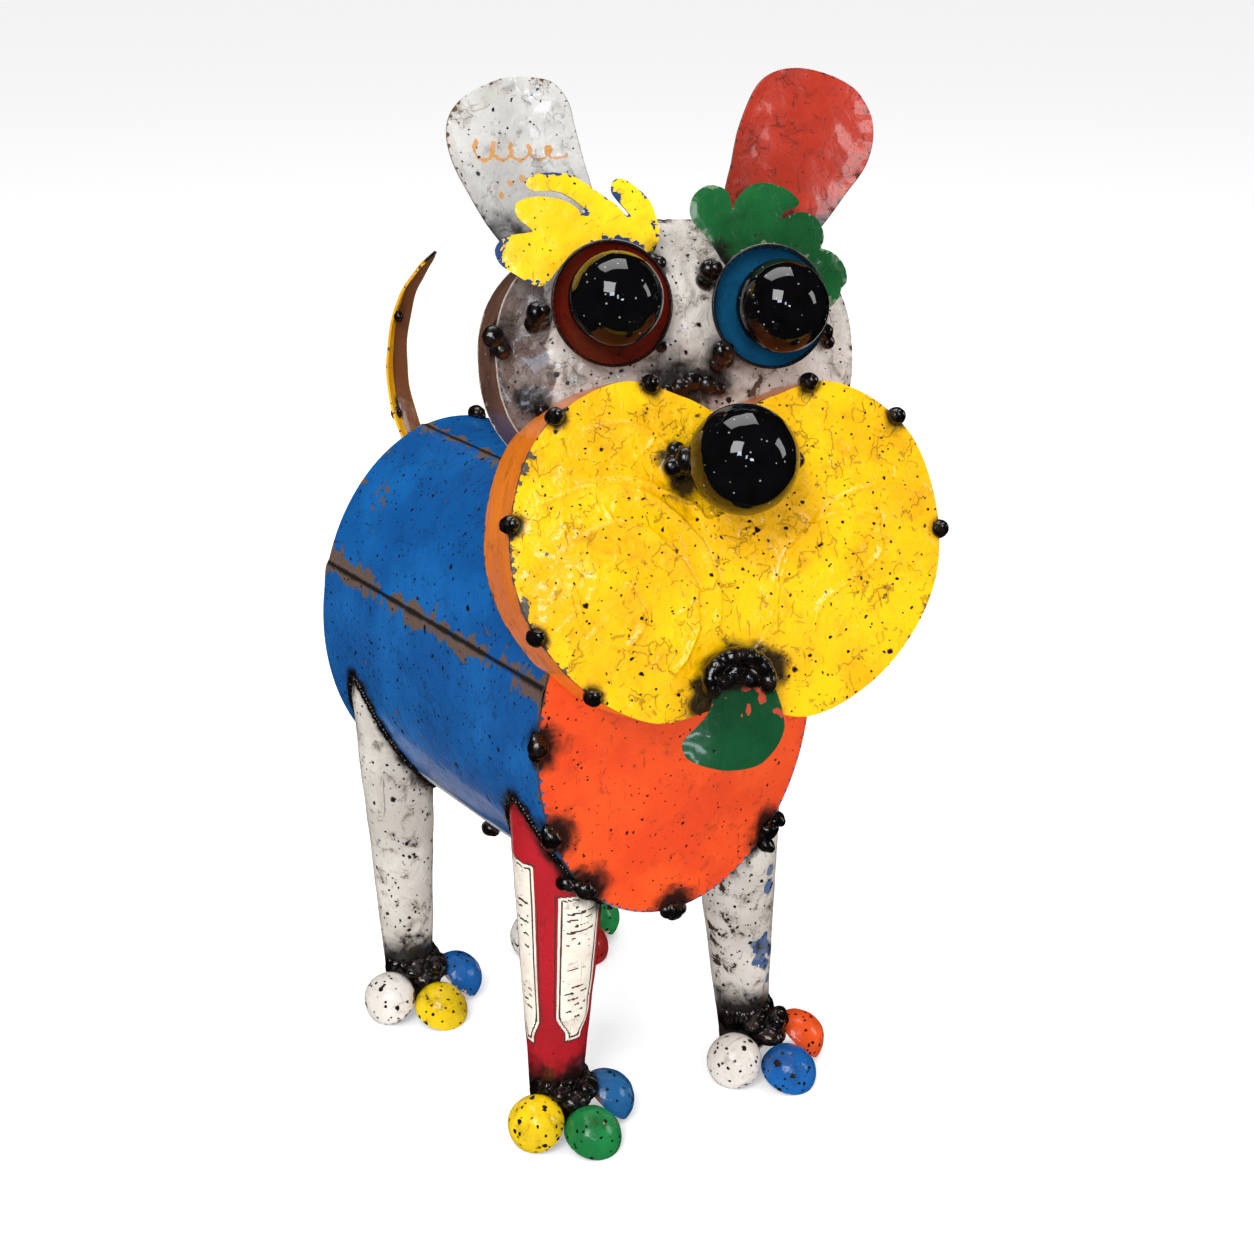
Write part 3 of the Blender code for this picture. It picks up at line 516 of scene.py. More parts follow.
@dataclass(frozen=True)
class DrumEnamel:
    """Stoved enamel on beaten drum steel: glossy, chipped to rust and primer, scorched round each weld."""

    name: str
    colour: str
    tint: str
    bare: str = "#4A3B33"
    rust: str = "#6E4630"
    line: str = "#3A3028"
    fleck: str = "#1A1512"
    panel: str = "#E4DED2"
    ink: str = "#2A2623"
    back: str = "#5A4A40"
    chips: float = 0.69
    flecks: float = 0.5
    lines: float = 0.5
    dirt: float = 0.25
    roughness: float = 0.3
    relief: float = 0.5

    def build(self) -> bpy.types.Material:
        """Makes the material from masks called wear, burn, panel, ink and back."""
        made = bpy.data.materials.new(self.name)
        made.use_nodes = True
        tree = made.node_tree
        shader = tree.nodes["Principled BSDF"]
        where = add(tree, "ShaderNodeTexCoord").outputs["Object"]
        mask = {k: add(tree, "ShaderNodeAttribute", {"attribute_name": k}).outputs["Fac"]
                for k in ("wear", "burn", "panel", "ink", "back")}
        cloud = add(tree, "ShaderNodeTexNoise", inputs={"Vector": where, "Scale": per_metre(38), "Detail": 4.0})
        grain = add(tree, "ShaderNodeTexNoise",
                    inputs={"Vector": where, "Scale": per_metre(2.4), "Detail": 3.0})
        patch = add(tree, "ShaderNodeTexNoise",
                    inputs={"Vector": where, "Scale": per_metre(11), "Detail": 7.0, "Roughness": 0.62,
                            "Distortion": 0.5})
        tinted = add(tree, "ShaderNodeMapRange", SMOOTH,
                     {"Value": cloud.outputs["Fac"], "From Min": 0.4, "From Max": 0.65})
        colour = add(tree, "ShaderNodeMix", RGBA,
                     {0: tinted.outputs["Result"], 6: linear(self.colour), 7: linear(self.tint)}).outputs[2]

        # A printed or second coat of paint with a broken edge, then strokes on it
        for label, code, spread in (("panel", self.panel, 0.5), ("ink", self.ink, 0.7)):
            broken = add(tree, "ShaderNodeMath", TIMES_PLUS,
                         {0: patch.outputs["Fac"], 1: -spread, 2: mask[label]})
            shown = add(tree, "ShaderNodeMapRange", SMOOTH,
                        {"Value": broken.outputs[0], "From Min": 0.17, "From Max": 0.23})
            colour = add(tree, "ShaderNodeMix", RGBA,
                         {0: shown.outputs["Result"], 6: colour, 7: linear(code)}).outputs[2]

        # Fine scratches: narrow bands of two stretched noises, seen only in patches
        scratches = []
        for turn, stretch in ((0.6, (0.12, 1.0, 0.5)), (-0.9, (1.0, 0.4, 0.12))):
            lay = add(tree, "ShaderNodeMapping",
                      inputs={"Vector": where, "Rotation": (turn, turn * 0.7, turn), "Scale": stretch})
            streak = add(tree, "ShaderNodeTexNoise",
                         inputs={"Vector": lay.outputs[0], "Scale": per_metre(2.2), "Detail": 2.0,
                                 "Distortion": 1.2})
            scratches.append(add(tree, "ShaderNodeMapRange", SMOOTH,
                                 {"Value": streak.outputs["Fac"], "From Min": 0.69,
                                  "From Max": 0.72}).outputs["Result"])
        scratch = add(tree, "ShaderNodeMath", LARGEST, {0: scratches[0], 1: scratches[1]}).outputs[0]

        # Cracks in the enamel where it was beaten: cell borders, bent by noise and broken up
        bent = add(tree, "ShaderNodeTexNoise", inputs={"Vector": where, "Scale": per_metre(9), "Detail": 3.0})
        moved = add(tree, "ShaderNodeVectorMath", TIMES_PLUS,
                    {0: bent.outputs["Color"], 1: (0.016, 0.016, 0.016), 2: where})
        border = add(tree, "ShaderNodeTexVoronoi", {"feature": "DISTANCE_TO_EDGE"},
                     {"Vector": moved.outputs[0], "Scale": per_metre(13)})
        thin = add(tree, "ShaderNodeMapRange", SMOOTH,
                   {"Value": border.outputs["Distance"], "From Min": 0.008, "From Max": 0.03, "To Min": 1.0,
                    "To Max": 0.0})
        gate = add(tree, "ShaderNodeMapRange", SMOOTH,
                   {"Value": patch.outputs["Fac"], "From Min": 0.62 - 0.14 * self.lines,
                    "From Max": 0.68 - 0.14 * self.lines})
        flake = add(tree, "ShaderNodeTexVoronoi", inputs={"Vector": moved.outputs[0], "Scale": per_metre(8)})
        facet = add(tree, "ShaderNodeSeparateColor", inputs={"Color": flake.outputs["Color"]}).outputs["Red"]
        crack = add(tree, "ShaderNodeMath", TIMES,
                    {0: thin.outputs["Result"], 1: gate.outputs["Result"]}).outputs[0]
        drawn = add(tree, "ShaderNodeMath", LARGEST, {0: crack, 1: scratch})
        faint = add(tree, "ShaderNodeMath", TIMES, {0: drawn.outputs[0], 1: 0.45 * self.lines + 0.1})
        shade = add(tree, "ShaderNodeMath", TIMES, {0: facet, 1: 0.3 * self.lines})
        colour = add(tree, "ShaderNodeMix", RGBA,
                     {0: shade.outputs[0], 6: colour, 7: linear(self.tint)}).outputs[2]
        colour = add(tree, "ShaderNodeMix", RGBA,
                     {0: faint.outputs[0], 6: colour, 7: linear(self.line)}).outputs[2]

        # Grime lies in the hollows of the grain
        grime = add(tree, "ShaderNodeMapRange", SMOOTH,
                    {"Value": patch.outputs["Fac"], "From Min": 0.5, "From Max": 0.72, "To Max": self.dirt})
        colour = add(tree, "ShaderNodeMix", {"data_type": "RGBA", "blend_type": "MULTIPLY"},
                     {0: grime.outputs["Result"], 6: colour, 7: linear(GRIME)}).outputs[2]

        # Chips down to primer and rust, far more where the mask of wear is high
        worn = add(tree, "ShaderNodeMath", TIMES_PLUS, {0: mask["wear"], 1: 0.3, 2: patch.outputs["Fac"]})
        chip = add(tree, "ShaderNodeMapRange", SMOOTH,
                   {"Value": worn.outputs[0], "From Min": self.chips,
                    "From Max": self.chips + 0.012}).outputs["Result"]
        under = add(tree, "ShaderNodeMix", RGBA,
                    {0: grain.outputs["Fac"], 6: linear(self.bare), 7: linear(self.rust)})
        colour = add(tree, "ShaderNodeMix", RGBA, {0: chip, 6: colour, 7: under.outputs[2]}).outputs[2]

        # Pits: small dark dots of two sizes
        pits = []
        for size, radius in ((4.2, 0.06), (9.0, 0.042), (21.0, 0.026)):
            loose = add(tree, "ShaderNodeVectorMath", TIMES_PLUS,
                        {0: grain.outputs["Color"], 1: (0.0022, 0.0022, 0.0022), 2: where})
            cell = add(tree, "ShaderNodeTexVoronoi",
                       inputs={"Vector": loose.outputs[0], "Scale": per_metre(size)})
            dot = add(tree, "ShaderNodeMapRange", SMOOTH,
                      {"Value": cell.outputs["Distance"], "From Min": radius * self.flecks * 1.6,
                       "From Max": radius * self.flecks * 1.6 + 0.03, "To Min": 1.0, "To Max": 0.0})
            pits.append(dot.outputs["Result"])
        pit = add(tree, "ShaderNodeMath", LARGEST, {0: pits[0], 1: pits[1]}).outputs[0]
        pit = add(tree, "ShaderNodeMath", LARGEST, {0: pit, 1: pits[2]}).outputs[0]
        colour = add(tree, "ShaderNodeMix", RGBA, {0: pit, 6: colour, 7: linear(self.fleck)}).outputs[2]

        # Soot and burnt paint round the welds, and through the same mask the faint painted shade under the
        # muzzle on the chest disc
        soot_and_shade = add(tree, "ShaderNodeMath", TIMES_PLUS, {0: patch.outputs["Fac"], 1: 0.9, 2: mask["burn"]})
        scorched = add(tree, "ShaderNodeMapRange", SMOOTH,
                       {"Value": soot_and_shade.outputs[0], "From Min": 0.62, "From Max": 1.12,
                        "To Max": 0.97}).outputs["Result"]
        gated = add(tree, "ShaderNodeMath", TIMES,
                    {0: scorched, 1: add(tree, "ShaderNodeMapRange", {},
                                         {"Value": mask["burn"], "From Max": 0.12}).outputs["Result"]})
        colour = add(tree, "ShaderNodeMix", RGBA,
                     {0: gated.outputs[0], 6: colour, 7: linear(SOOT_AND_SHADE)}).outputs[2]
        colour = add(tree, "ShaderNodeMix", RGBA, {0: mask["back"], 6: colour, 7: linear(self.back)}).outputs[2]

        dulled = add(tree, "ShaderNodeMath", TIMES_PLUS, {0: chip, 1: 0.38, 2: self.roughness})
        dulled = add(tree, "ShaderNodeMath", TIMES_PLUS,
                     {0: patch.outputs["Fac"], 1: 0.12, 2: dulled.outputs[0]})
        blow = add(tree, "ShaderNodeTexNoise",
                   inputs={"Vector": where, "Scale": per_metre(6.5), "Detail": 2.0, "Distortion": 0.8})
        height = add(tree, "ShaderNodeMath", TIMES_PLUS, {0: facet, 1: 0.5, 2: 0.0})
        height = add(tree, "ShaderNodeMath", TIMES_PLUS, {0: blow.outputs["Fac"], 1: 1.6, 2: height.outputs[0]})
        height = add(tree, "ShaderNodeMath", TIMES_PLUS, {0: scratch, 1: 0.25, 2: height.outputs[0]})
        height = add(tree, "ShaderNodeMath", TIMES_PLUS, {0: chip, 1: -0.35, 2: height.outputs[0]})
        height = add(tree, "ShaderNodeMath", TIMES_PLUS, {0: crack, 1: 0.3, 2: height.outputs[0]})
        height = add(tree, "ShaderNodeMath", TIMES_PLUS, {0: pit, 1: -0.5, 2: height.outputs[0]})
        bump = add(tree, "ShaderNodeBump",
                   inputs={"Height": height.outputs[0], "Strength": self.relief, "Distance": 0.0008})
        tree.links.new(colour, shader.inputs["Base Color"])
        tree.links.new(dulled.outputs[0], shader.inputs["Roughness"])
        tree.links.new(bump.outputs[0], shader.inputs["Normal"])
        shader.inputs["Specular IOR Level"].default_value = 0.3
        shader.inputs["Coat Weight"].default_value = 0.3
        shader.inputs["Coat Roughness"].default_value = 0.08
        return made


@dataclass(frozen=True)
class BurntWeld:
    """Stick weld metal, wire brushed and lacquered: almost black, glossy, with brown and blue heat tints."""

    name: str = "burnt_weld"

    def build(self) -> bpy.types.Material:
        """Makes the material."""
        made = bpy.data.materials.new(self.name)
        made.use_nodes = True
        tree = made.node_tree
        shader = tree.nodes["Principled BSDF"]
        where = add(tree, "ShaderNodeTexCoord").outputs["Object"]
        heat = add(tree, "ShaderNodeTexNoise",
                   inputs={"Vector": where, "Scale": per_metre(7), "Detail": 4.0, "Distortion": 0.6})
        ramp = add(tree, "ShaderNodeValToRGB", inputs={"Fac": heat.outputs["Fac"]})
        stops = ((0.3, "#060505"), (0.5, "#15110F"), (0.62, "#2C1D14"), (0.74, "#20242C"))
        while len(ramp.color_ramp.elements) < len(stops):
            ramp.color_ramp.elements.new(0.5)
        for stop, (at, code) in zip(ramp.color_ramp.elements, stops):
            stop.position, stop.color = at, linear(code)
        fine = add(tree, "ShaderNodeTexNoise", inputs={"Vector": where, "Scale": per_metre(1.6), "Detail": 3.0})
        shine = add(tree, "ShaderNodeMapRange",
                    inputs={"Value": fine.outputs["Fac"], "From Min": 0.3, "From Max": 0.7, "To Min": 0.14,
                            "To Max": 0.42})
        bump = add(tree, "ShaderNodeBump",
                   inputs={"Height": fine.outputs["Fac"], "Strength": 0.45, "Distance": 0.0006})
        tree.links.new(ramp.outputs["Color"], shader.inputs["Base Color"])
        tree.links.new(shine.outputs["Result"], shader.inputs["Roughness"])
        tree.links.new(bump.outputs[0], shader.inputs["Normal"])
        shader.inputs["Metallic"].default_value = 0.55
        shader.inputs["Coat Weight"].default_value = 0.7
        shader.inputs["Coat Roughness"].default_value = 0.08
        return made


@dataclass(frozen=True)
class BlackBall:
    """A bearing ball in black lacquer: mirror gloss, with fine pale specks painted into its colour as glints.
    """

    name: str = "black_lacquer_ball"

    def build(self) -> bpy.types.Material:
        """Makes the material."""
        made = bpy.data.materials.new(self.name)
        made.use_nodes = True
        tree = made.node_tree
        shader = tree.nodes["Principled BSDF"]
        where = add(tree, "ShaderNodeTexCoord").outputs["Object"]
        cloud = add(tree, "ShaderNodeTexNoise", inputs={"Vector": where, "Scale": per_metre(10), "Detail": 3.0})
        tone = add(tree, "ShaderNodeMix", RGBA,
                   {0: cloud.outputs["Fac"], 6: linear("#030202"), 7: linear("#0C0C0E")})
        # Fine pale specks painted into the base colour: painted glints.
        dots = add(tree, "ShaderNodeTexVoronoi", inputs={"Vector": where, "Scale": per_metre(4.2)})
        painted_glint = add(tree, "ShaderNodeMapRange", SMOOTH,
                    {"Value": dots.outputs["Distance"], "From Min": 0.07, "From Max": 0.13, "To Min": 1.0,
                     "To Max": 0.0})
        colour = add(tree, "ShaderNodeMix", RGBA,
                     {0: painted_glint.outputs["Result"], 6: tone.outputs[2], 7: linear("#8F8A84")})
        swell = add(tree, "ShaderNodeTexNoise", inputs={"Vector": where, "Scale": per_metre(8), "Detail": 1.0})
        bump = add(tree, "ShaderNodeBump",
                   inputs={"Height": swell.outputs["Fac"], "Strength": 0.25, "Distance": 0.0012})
        tree.links.new(colour.outputs[2], shader.inputs["Base Color"])
        tree.links.new(bump.outputs[0], shader.inputs["Normal"])
        shader.inputs["Roughness"].default_value = 0.04
        return made


class Finish(Enum):
    """Every finish on the dog. The names are of colours and of what the steel is."""

    BLUE = DrumEnamel("blue_drum_enamel", "#084A88", "#0C5A9C", chips=0.7, flecks=1.3, line="#0A2A4C", dirt=0.2,
                      bare="#4B4744", rust="#6B4A36", panel="#D5D3CF", roughness=0.24, relief=0.4, lines=0.75)
    ORANGE = DrumEnamel("orange_drum_enamel", "#EE4E04", "#DC3E03", chips=0.73, flecks=1.1, line="#7A2406",
                        dirt=0.15,
                        roughness=0.27, relief=0.35, lines=0.6, panel="#1B4E86")
    LIGHT_ORANGE = DrumEnamel("orange_hoop_enamel", "#E57A10", "#D96E10", chips=0.675, line="#8A4610",
                              dirt=0.4, roughness=0.3)
    YELLOW = DrumEnamel("yellow_beaten_enamel", "#FAC203", "#EBAC00", chips=0.72, flecks=1.15, line="#6E5408",
                        bare="#4C4A42",
                        rust="#5B5648", dirt=0.3, roughness=0.2, relief=1.1, lines=0.9)
    BROW_YELLOW = DrumEnamel("yellow_brow_enamel", "#FACD12", "#EDB806", chips=0.67, flecks=0.9,
                             line="#3A3420", bare="#1E3F77",
                             rust="#16305C", dirt=0.25, roughness=0.26, relief=0.5, lines=0.6, back="#1E3F77")
    CREAM = DrumEnamel("cream_face_enamel", "#D9D1C7", "#BFB5AA", chips=0.68, flecks=1.3, line="#5E5046",
                       dirt=0.9,
                       roughness=0.28, relief=0.9, lines=0.85, bare="#3B332E", rust="#6A4C3A", panel="#57423A")
    LEG_CREAM = DrumEnamel("cream_leg_enamel", "#D0C9BF", "#B7AFA5", chips=0.68, flecks=1.6, line="#4E443C",
                           dirt=0.85,
                           roughness=0.28, relief=0.7, lines=0.9, panel="#1D4C7E", bare="#26201C",
                           rust="#4A372B")
    EAR_CREAM = DrumEnamel("grey_ear_enamel", "#CFCBC5", "#B8B4AE", chips=0.69, flecks=1.0, line="#7B746C",
                           dirt=0.6,
                           roughness=0.3, relief=0.6, lines=0.9, panel="#CF8E3C", bare="#5A4534",
                           rust="#7A5230")
    RED = DrumEnamel("red_ear_enamel", "#B93420", "#A62C18", chips=0.69, flecks=0.5, line="#4A1A12", dirt=0.5,
                     roughness=0.3, relief=0.45, lines=1.0, bare="#3E1B14", rust="#5A2A1C")
    LEG_RED = DrumEnamel("red_leg_enamel", "#AE0F1E", "#A00D1A", chips=0.72, flecks=0.6, line="#4A0A10",
                         dirt=0.2, panel="#E9E2D2",
                         ink="#3A332E", roughness=0.24, relief=0.4, lines=0.4, bare="#2A1512", rust="#4A2018")
    GREEN = DrumEnamel("green_brow_enamel", "#165C2C", "#0F4A22", chips=0.7, flecks=0.5, line="#0B3A1C",
                       dirt=0.35,
                       roughness=0.24, relief=0.5, lines=0.5, bare="#7A8F6A", rust="#3B5A3A", back="#123D20")
    TONGUE = DrumEnamel("green_tongue_enamel", "#0A4A26", "#083E20", chips=0.71, flecks=0.6, line="#08311A",
                        dirt=0.2,
                        panel="#B5402A", bare="#8A4632", rust="#6A4A3A", roughness=0.27, relief=0.4, lines=0.35)
    TEAL = DrumEnamel("teal_cup_enamel", "#175E85", "#124B6C", chips=0.72, line="#0B2C40", dirt=0.3,
                      roughness=0.2, relief=0.35)
    MAROON = DrumEnamel("maroon_cup_enamel", "#7A1C12", "#6A2A18", chips=0.71, line="#2E0B08", dirt=0.4,
                        roughness=0.2, relief=0.35)
    BROWN = DrumEnamel("brown_drum_steel", "#6B4838", "#553A2E", chips=0.7, line="#2E211B", dirt=0.4,
                       bare="#E1D8CC",
                       rust="#8A6A56", roughness=0.38, relief=0.5)
    TAIL = DrumEnamel("yellow_tail_enamel", "#F2B90F", "#E79A0A", chips=0.67, line="#7A5210", dirt=0.3,
                      back="#6E4324",
                      roughness=0.28, relief=0.4)
    TOE_YELLOW = DrumEnamel("yellow_toe_enamel", "#F2CB0C", "#DDB906", chips=0.69, flecks=2.0, line="#6E5A10",
                            dirt=0.4, roughness=0.2)
    TOE_GREEN = DrumEnamel("green_toe_enamel", "#1E8A45", "#177038", chips=0.69, flecks=2.0, line="#0B3A1C",
                           dirt=0.4, roughness=0.2,
                           bare="#C9B79A", rust="#8A4A2A")
    TOE_BLUE = DrumEnamel("blue_toe_enamel", "#1560A8", "#0E4C8C", chips=0.7, flecks=2.0, line="#0A2C55",
                          dirt=0.3, roughness=0.18,
                          bare="#C9C2B8", rust="#A0553A")
    TOE_TEAL = DrumEnamel("teal_toe_enamel", "#1D5F94", "#184F7C", chips=0.68, flecks=2.0, line="#0A2C45",
                          dirt=0.4, roughness=0.2,
                          bare="#3A3A3E", rust="#B0683A")
    TOE_ORANGE = DrumEnamel("orange_toe_enamel", "#E8551A", "#D4440F", chips=0.69, flecks=2.0, line="#6E2408",
                            dirt=0.3, roughness=0.22)
    TOE_CREAM = DrumEnamel("cream_toe_enamel", "#E8E1D8", "#DAD2C8", chips=0.69, flecks=2.0, line="#5A5048",
                           dirt=0.4, roughness=0.22)
    TOE_RED = DrumEnamel("red_toe_enamel", "#AE1C1A", "#9A1612", chips=0.7, flecks=2.0, line="#4A1A12",
                         dirt=0.3, roughness=0.22)
    WELD = BurntWeld()
    BALL = BlackBall()

    def material(self) -> bpy.types.Material:
        """The material, built on first use."""
        return bpy.data.materials.get(self.value.name) or self.value.build()


# Pieces


@dataclass
class WeldRun:
    """A run of weld ripples along a closed line, laid by one node tree."""

    pitch: float = 1.7
    radius: float = 1.5
    seed: int = 5

    def tree(self) -> bpy.types.NodeTree:
        """The node tree: even points along the line, each with a ripple of its own size."""
        found = bpy.data.node_groups.get("weld_run")
        if found:
            return found
        made = bpy.data.node_groups.new("weld_run", "GeometryNodeTree")
        for name, kind in (("Line", "Geometry"), ("Pitch", "Float"), ("Radius", "Float"), ("Seed", "Int"),
                           ("Finish", "Material")):
            made.interface.new_socket(name, in_out="INPUT", socket_type="NodeSocket" + kind)
        made.interface.new_socket("Run", in_out="OUTPUT", socket_type="NodeSocketGeometry")
        given = add(made, "NodeGroupInput").outputs
        line = add(made, "GeometryNodeMeshToCurve", inputs={"Mesh": given["Line"]})
        even = add(made, "GeometryNodeResampleCurve", {"mode": "LENGTH"},
                   {"Curve": line.outputs[0], "Length": given["Pitch"]})
        ripple = add(made, "GeometryNodeMeshIcoSphere", inputs={"Radius": given["Radius"], "Subdivisions": 3})
        size = add(made, "FunctionNodeRandomValue", {"data_type": "FLOAT_VECTOR"},
                   {0: (0.75, 0.75, 0.75), 1: (1.35, 1.35, 1.35), "Seed": given["Seed"]})
        laid = add(made, "GeometryNodeInstanceOnPoints",
                   inputs={"Points": even.outputs[0], "Instance": ripple.outputs[0], "Scale": size.outputs[0]})
        real = add(made, "GeometryNodeRealizeInstances", inputs={0: laid.outputs[0]})
        done = add(made, "GeometryNodeSetMaterial",
                   inputs={"Geometry": real.outputs[0], "Material": given["Finish"]})
        add(made, "NodeGroupOutput", inputs={0: done.outputs[0]})
        return made

    def lay(self, name: str, line: Array, place: Place) -> None:
        """Lays the ripples.

        Args:
            name: the piece's name.
            line: the closed line in millimetres.
            place: its frame.
        """
        mesh = bpy.data.meshes.new(name + "_line")
        count = len(line)
        mesh.from_pydata(place(line).tolist(), [(i, (i + 1) % count) for i in range(count)], [])
        carrier = bpy.data.objects.new(name + "_line", mesh)
        bpy.context.scene.collection.objects.link(carrier)
        step = carrier.modifiers.new("run", "NODES")
        step.node_group = self.tree()
        values = {"Pitch": self.pitch * MM, "Radius": self.radius * MM, "Seed": self.seed,
                  "Finish": Finish.WELD.material()}
        for socket in step.node_group.interface.items_tree:
            if socket.name in values:
                step[socket.identifier] = values[socket.name]
        made = bpy.data.meshes.new_from_object(carrier.evaluated_get(bpy.context.evaluated_depsgraph_get()))
        bpy.data.objects.remove(carrier)
        made.name = name
        made.shade_smooth()
        piece = bpy.data.objects.new(name, made)
        bpy.context.scene.collection.objects.link(piece)
        finish(piece, Finish.WELD, "weld_steel")


@dataclass
class Barrel:
    """The body: a lapped tube of blue drum steel between two beaten discs."""

    length: float = 205.0
    axis: float = 207.0
    crown: float = 5.0
    top_seam: float = 101.0
    side_seam: float = 160.0
    bead_degrees: tuple[float, ...] = (176, -156, -133, -92, -47)
    legs: tuple["Leg", ...] = ()

    def bead_points(self) -> Array:
        """The middles of the beads on the chest's rim."""
        turn = np.radians(np.array(self.bead_degrees, float))
        x, z = oval(turn)
        return np.stack([x, np.full_like(x, -1.5), z + self.axis], axis=1)

    def shell(self) -> None:
        """The tube, with its two lapped seams, their rust and the pale belly."""
        turn = np.linspace(-math.pi, math.pi, 340, endpoint=False)
        along = np.linspace(0, self.length, 130)
        x, z = oval(turn)
        rows = np.stack(np.broadcast_arrays(x[None], along[:, None], z[None] + self.axis), axis=-1)
        skin = grid_skin(rows)
        angle = np.degrees(np.tile(turn, len(along)))
        y = np.repeat(along, len(turn))
        arc = 1.55
        wave = skin.noise(30, 3) * 1.2
        side, top = (angle - self.side_seam) * arc + wave * 0.3, (angle - self.top_seam) * arc
        lap = step_up(side, -1.2, 0.4) * step_up(14 - side, 0, 12)
        lap = lap + step_up(top, -1.2, 0.3) * step_up(16 - top, 0, 13)
        ends = np.minimum(y, self.length - y)
        dents = skin.noise(34, 5, 2) * 0.5 - hammer_marks(skin.points, 21, 8) * 0.25
        out = np.sign((skin.normals()[:, [0, 2]] * (skin.points[:, [0, 2]] - np.array([0, self.axis]))).sum())
        skin = skin.pushed(out * (lap + dents * step_up(ends, 0, 12) - 0.2))
        ragged = skin.noise(13, 21, 3)
        side_wear = np.exp(-((np.abs(side + 2.5 * ragged) / 7.5) ** 2)) * (0.92 + 0.4 * skin.noise(22, 4))
        top_wear = np.exp(-((np.abs(top + 2 * ragged) / 7) ** 2)) * 0.8
        bruise = np.exp(-(((angle - 133) * arc) ** 2) / 260 - ((y - 178) ** 2) / 500) * 0.5
        skin.masks["wear"] = np.clip(side_wear + top_wear + bruise + np.exp(-ends / 2.2) * 0.55, 0, 1.2)
        joints = np.concatenate([leg.crown()[::5] for leg in self.legs])
        seam_line = np.exp(-((top / 1.5) ** 2)) * 0.9 + np.exp(-((side / 1.3) ** 2)) * 0.85
        under = np.maximum(near(skin.points, joints, 11) * 0.9, near(skin.points, self.bead_points(), 17))
        skin.masks["burn"] = np.clip(np.maximum(under, seam_line), 0, 1)
        skin.masks["panel"] = np.clip(step_up(angle, -140, -132) * step_up(-angle, 58, 66), 0, 1)
        made = Build.sheet("blue_barrel", skin, Build.body, inward=int(out))
        finish(made, Finish.BLUE, "blue_enamel", "barrel_shell")

    def disc(self, front: bool) -> None:
        """One end disc, beaten to a low dome.

        Args:
            front: whether it is the chest and not the rump.
        """
        turn = np.linspace(0, 2 * math.pi, 300, endpoint=False)
        share = np.linspace(0, 1, 64)[:, None]
        x, z = oval(turn, -0.9)
        side = -1 if front else 1
        base = -SHEET - GAP if front else self.length + GAP
        dome = side * self.crown * (1 - share**2)
        rows = np.stack(np.broadcast_arrays(x[None] * share, base + dome, z[None] * share + self.axis), axis=-1)
        skin = grid_skin(rows, pole=True)
        edge = 1 - np.clip(skin.rim_distance() / 14, 0, 1)
        depth = skin.noise(40, 11 + front, 2) * 0.9 - hammer_marks(skin.points, 24, 12) * 0.35
        outward = np.sign((skin.normals()[:, 1] * side).mean())
        skin = skin.pushed(outward * (depth * (1 - edge) + 0.2))
        skin.masks["wear"] = edge**3 * 0.6
        burn = near(skin.points, self.bead_points(), 22) if front else np.zeros(len(skin.points))
        # A faint painted shade on the chest disc under the muzzle, where the muzzle nearly meets the chest; it
        # rides in the burn mask though no weld lies there.
        chin_shade = near(skin.points, np.array([[-40, -3, 262], [0, -3, 236], [45, -3, 255]], float),
                    22) * 0.25 if front else 0
        tail = near(skin.points, np.array([[0, self.length, 262]], float), 26) if not front else 0
        skin.masks["burn"] = np.maximum(np.maximum(burn, chin_shade), tail)
        low = step_up(self.axis + 35 - skin.points[:, 2], 0, 20)
        skin.masks["panel"] = step_up(2.8 - skin.rim_distance(), 0, 2.8) * low * front
        name, finish_name, slot = ("chest_disc_beaten", Finish.ORANGE, "orange_enamel") if front else (
            "rump_disc_beaten", Finish.LIGHT_ORANGE, "light_orange_enamel")
        made = Build.sheet(name, skin, Build.body, inward=int(outward))
        finish(made, finish_name, slot, "chest_disc" if front else "rump_disc")

    def beads(self) -> None:
        """Beads of weld on the chest's rim, each a smeared lump with a nub on it."""
        for number, (place, degrees) in enumerate(zip(self.bead_points(), self.bead_degrees), start=1):
            turn = math.radians(degrees)
            way = np.array([-math.sin(turn), 0, math.cos(turn)])
            blobs = [(place + (0, -0.5, 0), (5.2, 4.6, 5.2)), (place + way * 3, (4.4, 3.2, 4.4)),
                     (place - way * 3.4 + (0, 0.6, 0), (3.8, 3.0, 3.8)),
                     (place + way * 1.2 + (0.8, -3.2, 0.9), (2.6, 2.4, 2.6))]
            made = Build.lump(f"chest_bead_{number}_weld", blobs, Build.body, 40 + number)
            finish(made, Finish.WELD, "weld_steel", f"chest_bead_{number}")

    def stray_beads(self) -> None:
        """Small beads at the belly, the legs' tops and the barrel's back edge."""
        spots = ((-48, 92, 128), (-38, 52, 119), (15, 203, 305), (-62, 2, 140), (62, 3, 137), (52, -2, 128),
                 (40, 12, 117))
        blobs = []
        for x, y, z in spots:
            out = np.array([x / 80.0, 0, (z - self.axis) / 100.0])
            middle = np.array([x, y, z], float) + out * 2
            blobs += [(middle, (4.4, 4.8, 4.0)), (middle + (0.8, -2.6, -1.0), (2.8, 3.0, 2.8))]
        finish(Build.lump("belly_welds", blobs, Build.body, 77), Finish.WELD, "weld_steel")

    def build(self) -> None:
        """Makes and dresses the body."""
        self.shell()
        self.disc(front=True)
        self.disc(front=False)
        self.beads()
        self.stray_beads()


